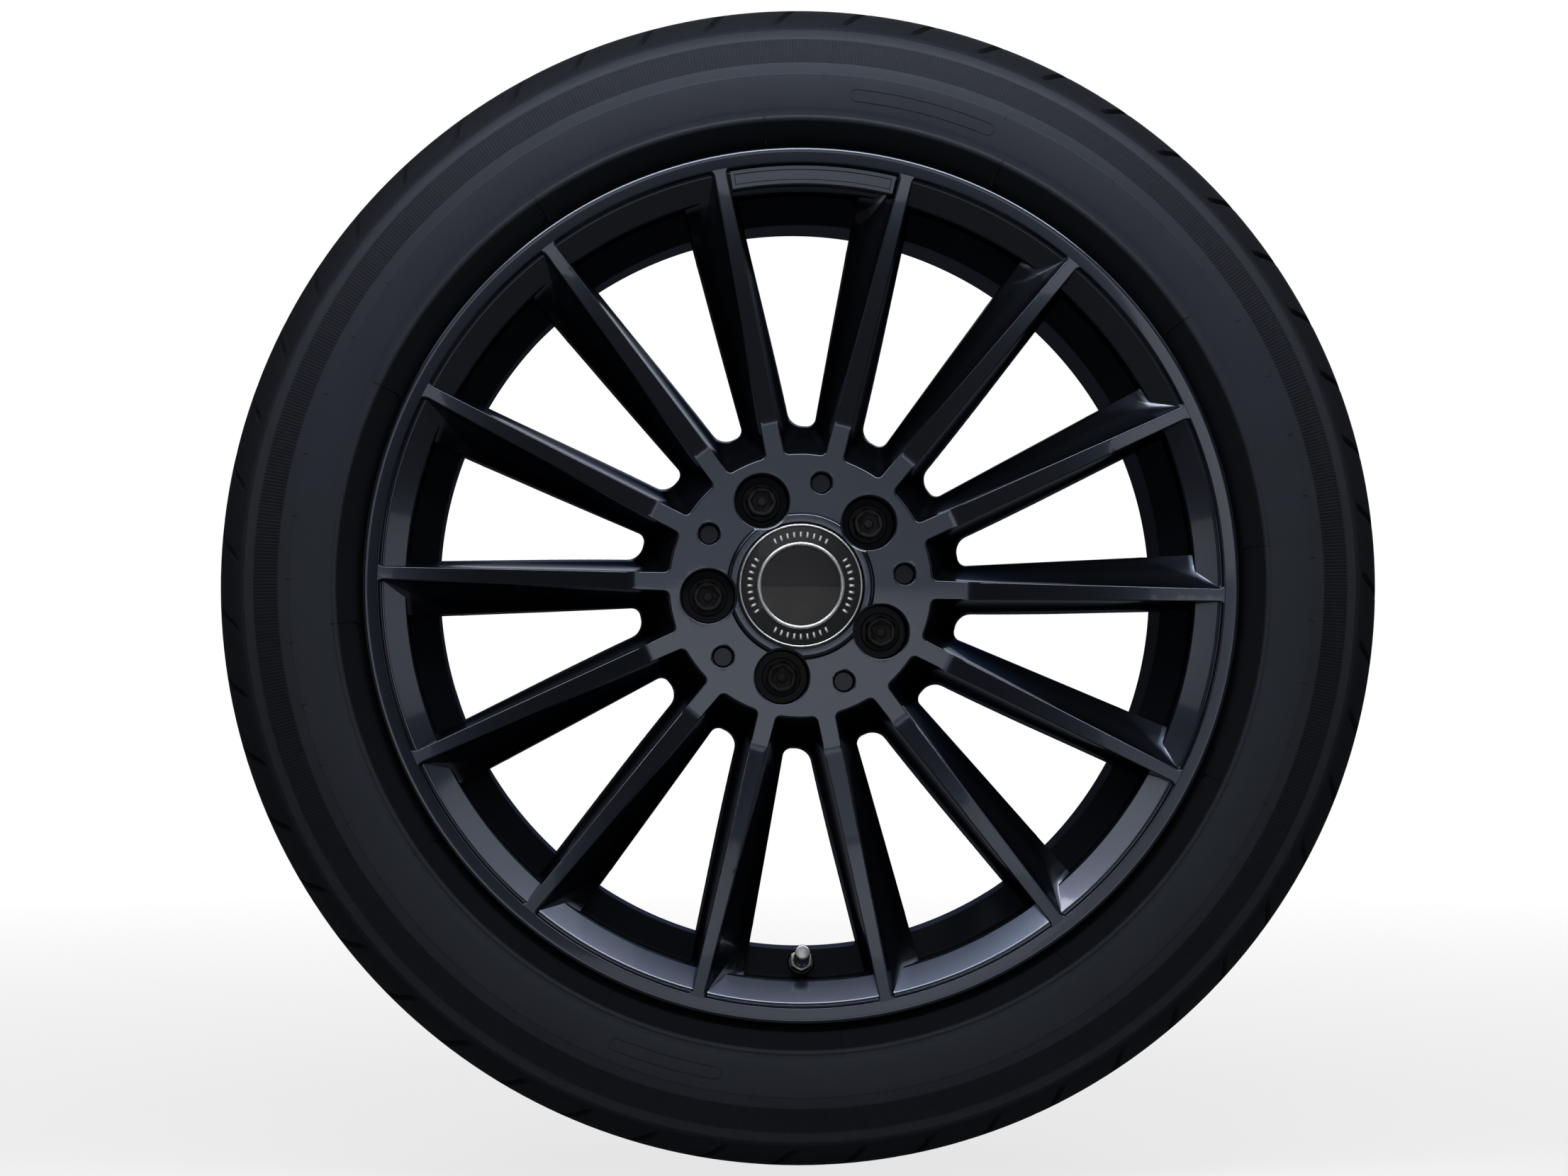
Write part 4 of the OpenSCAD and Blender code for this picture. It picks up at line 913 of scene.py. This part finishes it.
def shoulder_grooves(side):
    return ring_of("shoulder_grooves", lofted(groove_path(side)), grooves)


def sipe(y0, y1, lean):
    """Thin cuts across one rib of the tread, copied round the tyre."""
    depth, wide = 5, 0.5 / 350
    rings = []
    for t in (0, 0.33, 0.67, 1):
        y = mix(y0, y1, t)
        middle = math.radians(lean * (t - 0.5) + 0.28 * math.sin(t * math.tau))
        top = tread_r(abs(y))
        rings.append([Vector((r * math.cos(a), y, r * math.sin(a))) for r, a in
                      ((top - depth, middle - wide), (top - depth, middle + wide),
                       (top + 3, middle + wide), (top + 3, middle - wide))])
    return ring_of("sipes", lofted(rings), grooves)


tyre = tyre_body()
cut(tyre, shoulder_grooves(1), shoulder_grooves(-1))
cut(tyre, sipe(-51, -31, 1.9), sipe(31, 51, -1.9), sipe(-16.5, -3, 1.4), sipe(3, 16.5, -1.4))
settle(tyre, TYRE, "wheel", "tyre_rubber", "tyre", smooth=32)

# %% [markdown]
# # Ribs and fine lines on the sidewall
# These stand less than half a millimetre proud, yet they are what the eye reads as a real tyre.
# Each is laid on the turned surface: side_at gives the sidewall's place at any radius, so a line can
# follow it. Lettering is left off, and the two rounded frames that held some of it stay empty.

# %% Sidewall details
outline = sorted([(p[0], p[1]) for p in tyre_half() if p[0] < 333 and p[1] < -108])


def side_at(r):
    """Place along the axle of the outer sidewall at a radius."""
    for (r0, y0), (r1, y1) in zip(outline, outline[1:]):
        if r0 <= r <= r1:
            return mix(y0, y1, (r - r0) / max(r1 - r0, 1e-6))
    return outline[0][1] if r < outline[0][0] else outline[-1][1]


def on_side(r, angle, proud):
    return Vector((r * math.cos(math.radians(angle)), side_at(r) - proud, r * math.sin(math.radians(angle))))


def bar(bm, stations, angle, half, proud):
    """A low bar across the sidewall through several radii, widest at its foot."""
    sunk = 0.4
    rings = []
    for r in stations:
        foot, top = math.degrees(half / r), math.degrees(half * 0.6 / r)
        rings.append([on_side(r, angle - foot, -sunk), on_side(r, angle - top, proud),
                      on_side(r, angle + top, proud), on_side(r, angle + foot, -sunk)])
    extruded_rings(bm, rings)


def both_sides(bm):
    """Adds the same details to the inner sidewall."""
    geometry = list(bm.verts) + list(bm.edges) + list(bm.faces)
    copy = bmesh.ops.duplicate(bm, geom=geometry)["geom"]
    bmesh.ops.scale(bm, vec=(1, -1, 1), verts=verts_in(copy))
    bmesh.ops.recalc_face_normals(bm, faces=bm.faces)


def rib_band():
    ribs = 1020
    bm = bmesh.new()
    bar(bm, (flange_r + 48.7, flange_r + 56, flange_r + 62.8), 90, 0.42, 0.42)
    repeat(bm, ribs, 360 / ribs)
    both_sides(bm)
    return piece("tyre_ribs", bm)


def stadium(bm, from_angle, to_angle, r_in, r_out, half, proud):
    """A thin raised frame with round ends that follows the tyre's curve."""
    middle, radius = (r_in + r_out) / 2, (r_out - r_in) / 2
    line = []
    for angle, first in ((to_angle, -90), (from_angle, 90)):
        for k in range(13):
            t = math.radians(first + 15 * k)
            line.append((middle + radius * math.sin(t), angle + math.degrees(radius * math.cos(t) / middle)))
    full = []
    for (r, a), (nr, na) in zip(line, line[1:] + line[:1]):
        steps = 12 if abs(na - a) > 5 else 1
        full += [(mix(r, nr, k / steps), mix(a, na, k / steps)) for k in range(steps)]
    rings = []
    for offset, height in ((half, -0.3), (half * 0.6, proud), (-half * 0.6, proud), (-half, -0.3)):
        ring = []
        for i, (r, a) in enumerate(full):
            (r0, a0), (r1, a1) = full[i - 1], full[(i + 1) % len(full)]
            run = Vector((math.radians(a1 - a0) * middle, r1 - r0)).normalized()
            ring.append(on_side(r + run.x * offset, a - math.degrees(run.y * offset / middle), height))
        rings.append(ring)
    extruded_rings(bm, rings, capped=False)


def fine_lines():
    bm = bmesh.new()
    for k in range(grooves):
        bar(bm, (flange_r + 39.6, flange_r + 41.5, flange_r + 43.2), 3 + k * 360 / grooves, 0.28, 0.3)
    for k in range(12):
        bar(bm, [flange_r + 2 + i * 2.4 for i in range(8)], 4.8 + 30 * k, 0.3, 0.35)
    stadium(bm, 67.9, 83.8, 286.2, 293.2, 0.42, 0.30)
    stadium(bm, -112.2, -100.2, 286.2, 293.2, 0.42, 0.30)
    both_sides(bm)
    return piece("tyre_lines", bm)


settle(rib_band(), TYRE, "wheel", "tyre_rubber", smooth=25)
settle(fine_lines(), TYRE, "wheel", "tyre_rubber", smooth=25)

# %% [markdown]
# # Small pieces taken from the CAD
# The little parts deep in the wheel have the right shape already. What they lack is the tiny
# round on every edge that catches light. So for most of them a copy of the mesh is merged, its flat areas
# are joined again, and its sharp edges are bevelled; the smallest keep the CAD mesh and only get a
# finish. The CAD mesh itself is left alone.

# %% Softened copies
def bevelled(made, width, above=-1e6):
    """Rounds by width mm the sharp edges of a piece that lie higher than above."""
    bm = bmesh.new()
    bm.from_mesh(made.data)
    bmesh.ops.remove_doubles(bm, verts=bm.verts, dist=2e-6)
    bmesh.ops.dissolve_limit(bm, angle_limit=math.radians(0.5), verts=bm.verts, edges=bm.edges)
    sharp = math.radians(35)
    edges = [e for e in bm.edges if len(e.link_faces) == 2 and e.calc_face_angle(0) > sharp
             and min(v.co.z for v in e.verts) > above * MM]
    bmesh.ops.bevel(bm, geom=edges, offset=width * MM, offset_type="OFFSET", segments=2, profile=0.5,
                    affect="EDGES", clamp_overlap=True, material=-1)
    bm.to_mesh(made.data)
    bm.free()
    return made


def softened(node, width):
    """A copy of a CAD node with its edges rounded by width mm."""
    bm = bmesh.new()
    bm.from_mesh(nodes[node].data)
    return bevelled(piece(node + "_fine", bm), width)


BODY_OF = {node: body for body, members in frame["record"]["behaviour"]["bodies"].items() for node in members}
SMALL = {
    "cap_spring_ring": (SPRING, "spring_steel", 0.0), "valve_grommet": (SEAL, "seal_rubber", 0.2),
    "valve_washer": (WASHER, "washer_black", 0.2), "valve_core": (BRASS, "core_brass", 0.0),
    "valve_pin": (BRASS, "core_brass", 0.0), "valve_core_spring": (SPRING, "spring_steel", 0.0),
    "valve_cap_seal": (SEAL, "seal_rubber", 0.0), "pressure_sensor": (SENSOR, "sensor_plastic", 0.6),
    "sensor_screw": (SPRING, "spring_steel", 0.0), "weight_tape": (FOAM, "tape_foam", 0.15),
    "balance_weights": (ZINC, "weight_metal", 0.5),
}
for node, (material, slot, width) in SMALL.items():
    if width:
        settle(softened(node, width), material, BODY_OF[node], slot, node, smooth=35)
    else:
        for index in range(max(1, len(nodes[node].material_slots))):
            if nodes[node].material_slots:
                nodes[node].material_slots[index].material = material
            else:
                nodes[node].data.materials.append(material)

# %% [markdown]
# # Bolts
# A wheel bolt is forged, then turned and threaded. So the collar, the ball under it and the shank are
# one turned body, the head is a hexagonal bar whose top is faced to a cone, and the key's hollow is
# cut into it round the post that stands in its middle. One bolt is made and copied to five seats.

# %% Wheel bolts
def turned_up(name, profile, steps):
    """A body turned about Z, from [radius, height] in mm."""
    bm = bmesh.new()
    upright(bm, profile, steps, Matrix.Identity(4))
    return piece(name, bm)


def six_sided(flats, low_z, high_z):
    """A six-sided bar along Z with a corner towards +X."""
    bm = bmesh.new()
    radius = flats / 2 / math.cos(math.radians(30)) * MM
    place = shift(0, 0, (low_z + high_z) / 2) @ Matrix.Rotation(math.radians(30), 4, "Z")
    bmesh.ops.create_cone(bm, cap_ends=True, segments=6, radius1=radius, radius2=radius,
                          depth=(high_z - low_z) * MM, matrix=place)
    return piece("six_sided", bm)


def thread(outer, core, top, bottom, step):
    """The rings of a thread seen from the side, going down."""
    return [point for k in range(int((top - bottom) / step))
            for point in ([core, top - k * step], [outer, top - (k + 0.5) * step])]


def put(made, place, name=None):
    """Moves the mesh itself, so the object stays at the origin."""
    made.data.transform(place)
    if name:
        made.name = made.data.name = name
    return made


ball = arc(0, ball_rise, ball_r, -math.degrees(math.asin((ball_rise + 2.5) / ball_r)), -60, 8)
bolt = turned_up("bolt", [[0, 0], [11.1, 0], [11.5, -0.1], [11.75, -0.35], [ball_top_r, -0.7], *ball,
                          [6.4, -8.2],
                          *thread(7.0, 6.3, -8.6, -31.6, 1.5), [6.3, -32.2], [5.0, -34.0], [0, -34.05]], 60)
cone = [[0, -1], [11.2, -1], [11.2, 9.6], [8.1, 11.98], [0, 11.98]]
head = cut(six_sided(17, -0.5, 12), turned_up("cone", cone, 60), operation="INTERSECT")
cut(bolt, head, operation="UNION")
post = [[0, 5], [2.8, 5], [2.8, 9.2], [2.5, 9.5], [0, 9.5]]
cut(bolt, cut(six_sided(12.6, 6, 13), turned_up("post", post, 40)))
bevelled(bolt, 0.28, above=-0.05)
for i in range(5):
    one = bpy.data.objects.new("bolt", bolt.data.copy())
    bpy.context.scene.collection.objects.link(one)
    put(one, at_bolt(i), f"bolt_{i + 1}_fine")
    settle(one, BOLT, "wheel", "bolt_black", f"wheel_bolt_{i + 1}", smooth=32)
bpy.data.meshes.remove(bolt.data)

# %% [markdown]
# # Centre cap
# The cap is moulded plastic with six sprung clips. Two silver rings and a domed, glossy disc sit on
# its face. The words and the sign of the original are left off: the disc stays plain, and a circle of
# small plain bars stands where the words were.

# %% Centre cap
face = -79.6


def centre_cap():
    bm = bmesh.new()
    spin_profile(bm, rounded([[0, face], [35.7, face], [35.7, face + 0.6], [37.2, face + 0.6],
                              [37.5, face + 1.0],
                              [37.5, -72], [34.0, -72], [34.0, face + 2.4], [0, face + 2.4]], 0.3, 2), 180,
                              closed=False)
    inside, hook = face + 2.4, -65.8
    for k in range(6):
        clip = bmesh.new()
        spin_profile(clip, [[32.0, inside - 0.5], [33.8, inside - 0.5], [33.8, hook], [35.1, hook + 0.6],
                            [35.1, hook + 1.4], [33.2, hook + 4.6], [32.0, hook + 4.6], [32.0, hook + 3.4],
                            [32.7, hook + 3.0], [32.7, hook + 0.6], [32.0, hook + 0.2]],
                     6, turn=30, start=-k * 60 - 30)
        add_part(bm, clip)
    return piece("cap_body_fine", bm)


def turned_piece(name, profile, steps=180, closed=True):
    bm = bmesh.new()
    spin_profile(bm, profile, steps, closed=closed)
    return piece(name, bm)


def cap_marks():
    """Small plain bars in a circle on the cap's face."""
    bm = bmesh.new()
    for k in range(48):
        if k % 12 < 9:
            place = turn_about_axle(k * 7.5 + 60) @ shift(30.6, -79.65, 0)
            bmesh.ops.create_cube(bm, size=1, matrix=place @ Matrix.Diagonal((3.4 * MM, 0.3 * MM, 1.5 * MM,
                                                                              1)))
    return bevelled(piece("cap_marks", bm), 0.1)


settle(centre_cap(), CAP, "wheel", "cap_moulding", "cap_body", smooth=32)
disc_r, disc_y = 23.8, -80.6
dome = [[r, disc_y + 0.5 * (r / disc_r) ** 2] for r in (2, 5, 8, 11, 14, 17, 20, 22.5, disc_r)]
settle(turned_piece("cap_badge_fine", [[0, disc_y], *dome, [disc_r, face], [0, face]], closed=False),
       BADGE, "wheel", "badge_gloss", "cap_badge")
inner_ring = [[disc_r, face], *arc(25.05, -80.1, 1.25, 180, 360, 12), [26.3, face]]
settle(turned_piece("cap_inner_ring_fine", inner_ring), CHROME, "wheel", "ring_chrome", "cap_inner_ring",
       smooth=40)
outer_ring = rounded([[35.8, -79.0], [35.8, -79.9], [36.2, -80.3], [36.8, -80.2], [37.2, face],
                      [37.2, -79.0]],
                     0.25, 3, closed=True)
settle(turned_piece("cap_outer_ring_fine", outer_ring), CHROME, "wheel", "ring_chrome", "cap_outer_ring",
       smooth=40)
settle(cap_marks(), CHROME, "wheel", "ring_chrome", smooth=40)

# %% [markdown]
# # Valve
# The stem is a turned aluminium tube with fine threads, clamped by a hexagonal nut. Its small cap is
# turned too, with twelve flutes for the fingers. The cap rides on its own body, because it unscrews.

# %% Valve
stem = turned_up("valve_stem_fine", [
    [1.6, -8.7], [1.6, 21.5], [2.6, 21.6], [2.6, 32.1], [2.8, 32.3], [3.35, 32.3], [3.75, 31.9],
    *thread(3.85, 3.5, 31.6, 17.8, 0.8), [3.5, 17.6], [4.3, 16.2], *thread(4.5, 4.2, 15.9, 9.9, 0.8),
    [4.5, 9.6], [4.5, -4.5], [7.1, -4.5], [7.1, -9.7], [6.9, -10.1], [1.45, -10.1]], 48)
settle(put(stem, at_valve()), STEM, "wheel", "valve_metal", "valve_stem", smooth=35)
nut_cone = [[0, 3.7], [6.0, 3.7], [7.3, 4.5], [7.3, 9.9], [5.9, 10.7], [0, 10.7]]
nut = cut(six_sided(12, 3.7, 10.7), turned_up("nut_cone", nut_cone, 48), operation="INTERSECT")
cut(nut, turned_up("nut_hole", [[0, 3], [4.55, 3], [4.55, 10.2], [5.1, 11], [0, 11]], 48))
settle(put(bevelled(nut, 0.16), at_valve(), "valve_nut_fine"), NUT, "wheel", "nut_metal", "valve_nut",
       smooth=32)
low_z, high_z = 21.65, 34.65
dust_cap = turned_up("valve_cap_fine", [
    [3.95, low_z], [4.3, low_z], [4.6, low_z + 0.3], [4.6, low_z + 1.9], [4.45, low_z + 2.05],
    [4.6, low_z + 2.2], [4.6, high_z - 1.1], [4.35, high_z - 0.5], [3.9, high_z - 0.12],
    [3.5, high_z], [0.01, high_z], [0.01, high_z - 1.2], [3.95, high_z - 1.2]], 96)
flutes = bmesh.new()
for k in range(12):
    upright(flutes, [[0, low_z + 2.6], [0.45, low_z + 2.6], [0.8, low_z + 3.0], [0.8, high_z + 1],
                     [0, high_z + 1]], 20,
            Matrix.Rotation(math.radians(k * 30), 4, "Z") @ shift(5.15, 0, 0))
cut(dust_cap, piece("flutes", flutes))
settle(put(dust_cap, at_valve()), DUST_CAP, "dust_cap", "cap_metal", "valve_cap", smooth=35)

# %% [markdown]
# # The studio
# The photograph is a product picture on white. The wheel stands on a pale floor, and the white all
# round is the world, which is only that bright to the camera. For reflections the room is dim, so
# glossy paint stays dark except where it mirrors a soft box. A slim strip close over the tyre lights
# its top and falls away towards its foot; the boxes in front, one above the other, are what the hub
# and the upper and lower spokes mirror; those on the sides draw the edges of the rim.

# %% Floor, world and lamps
floor_z = -tyre_r * MM - 0.0004


def floor():
    bm = bmesh.new()
    bmesh.ops.create_circle(bm, cap_ends=True, segments=96, radius=7)
    bmesh.ops.translate(bm, vec=(0, 0, floor_z), verts=bm.verts)
    made = piece("floor", bm)
    finish = Finish("floor_white", Roughness=0.9, Specular_IOR_Level=0.1)
    finish.feed("Base Color", finish.mix(finish.noise(400, 2), (0.80, 0.80, 0.80), (0.84, 0.84, 0.84)))
    rays = finish.tree.nodes.new("ShaderNodeLightPath").outputs
    camera_ray, glossy_ray = Value(finish, rays["Is Camera Ray"]), Value(finish, rays["Is Glossy Ray"])
    x, y, z = finish.axes()
    far = ((x * x + y * y) ** 0.5).above(1500, 2000)
    white = finish.node("ShaderNodeEmission", {}, {"Color": (1, 1, 1, 1), "Strength": camera_ray * 0.9 + 0.1})
    share = camera_ray * (0.78 + far * 0.22) + glossy_ray * 0.95
    plain = Value(finish, finish.shader.outputs[0])
    both = finish.node("ShaderNodeMixShader", {}, {0: share.clamped(), 1: plain, 2: white})
    finish.tree.links.new(both.socket, finish.output.inputs["Surface"])
    made.data.materials.append(finish.material)


def world():
    made = bpy.data.worlds.new("studio")
    made.use_nodes = True
    tree = made.node_tree
    tree.nodes.clear()
    rays = tree.nodes.new("ShaderNodeLightPath")
    level = tree.nodes.new("ShaderNodeMix")
    level.data_type = "FLOAT"
    level.inputs[2].default_value, level.inputs[3].default_value = 0.05, 1.0
    background = tree.nodes.new("ShaderNodeBackground")
    background.inputs["Color"].default_value = (1, 1, 1, 1)
    output = tree.nodes.new("ShaderNodeOutputWorld")
    tree.links.new(rays.outputs["Is Camera Ray"], level.inputs[0])
    tree.links.new(level.outputs[0], background.inputs["Strength"])
    tree.links.new(background.outputs[0], output.inputs["Surface"])
    bpy.context.scene.world = made


def soft_box(name, place, aim, size, watts):
    lamp = bpy.data.lights.new(name, "AREA")
    lamp.shape, lamp.size, lamp.size_y = "RECTANGLE", size[0], size[1]
    lamp.energy = watts
    made = bpy.data.objects.new(name, lamp)
    made.location = place
    made.rotation_euler = (Vector(aim) - Vector(place)).to_track_quat("-Z", "Y").to_euler()
    made.visible_camera = False
    bpy.context.scene.collection.objects.link(made)


floor()
world()
for name, place, aim, size, watts in (
        ("strip over the tyre", (0.0, -0.42, 0.62), (0, -0.12, 0.3), (1.0, 0.12), 5.2),
        ("front, low", (-0.1, -3.3, -0.12), (0, 0, 0), (1.1, 0.4), 2.5),
        ("front, middle", (-0.1, -3.3, 0.35), (0, 0, 0), (1.1, 0.5), 1.0),
        ("front, high", (-0.1, -3.2, 1.0), (0, 0, 0), (1.1, 0.8), 3.3),
        ("front, top", (-0.1, -2.9, 1.8), (0, 0, 0), (1.1, 0.8), 1.6),
        ("upper right", (1.8, -0.6, 1.9), (0, 0, 0), (1.6, 1.6), 5.0),
        ("left", (-2.6, -0.5, 0.2), (0, 0, 0), (1.0, 1.4), 3.8),
        ("right", (2.6, -0.5, 0.2), (0, 0, 0), (1.0, 1.4), 3.7),
        ("near left", (-0.95, -0.55, 0.95), (0, 0, 0), (0.8, 0.6), 2.5),
        ("near right", (0.95, -0.55, 0.95), (0, 0, 0), (0.8, 0.6), 1.0),
        ("rear", (0.6, 3.0, 1.6), (0, 0, 0), (2.2, 1.6), 14.0)):
    soft_box(name, place, aim, size, watts)
print(len(bpy.data.lights), "soft boxes")
bpy.context.scene.view_settings.view_transform = "Standard"
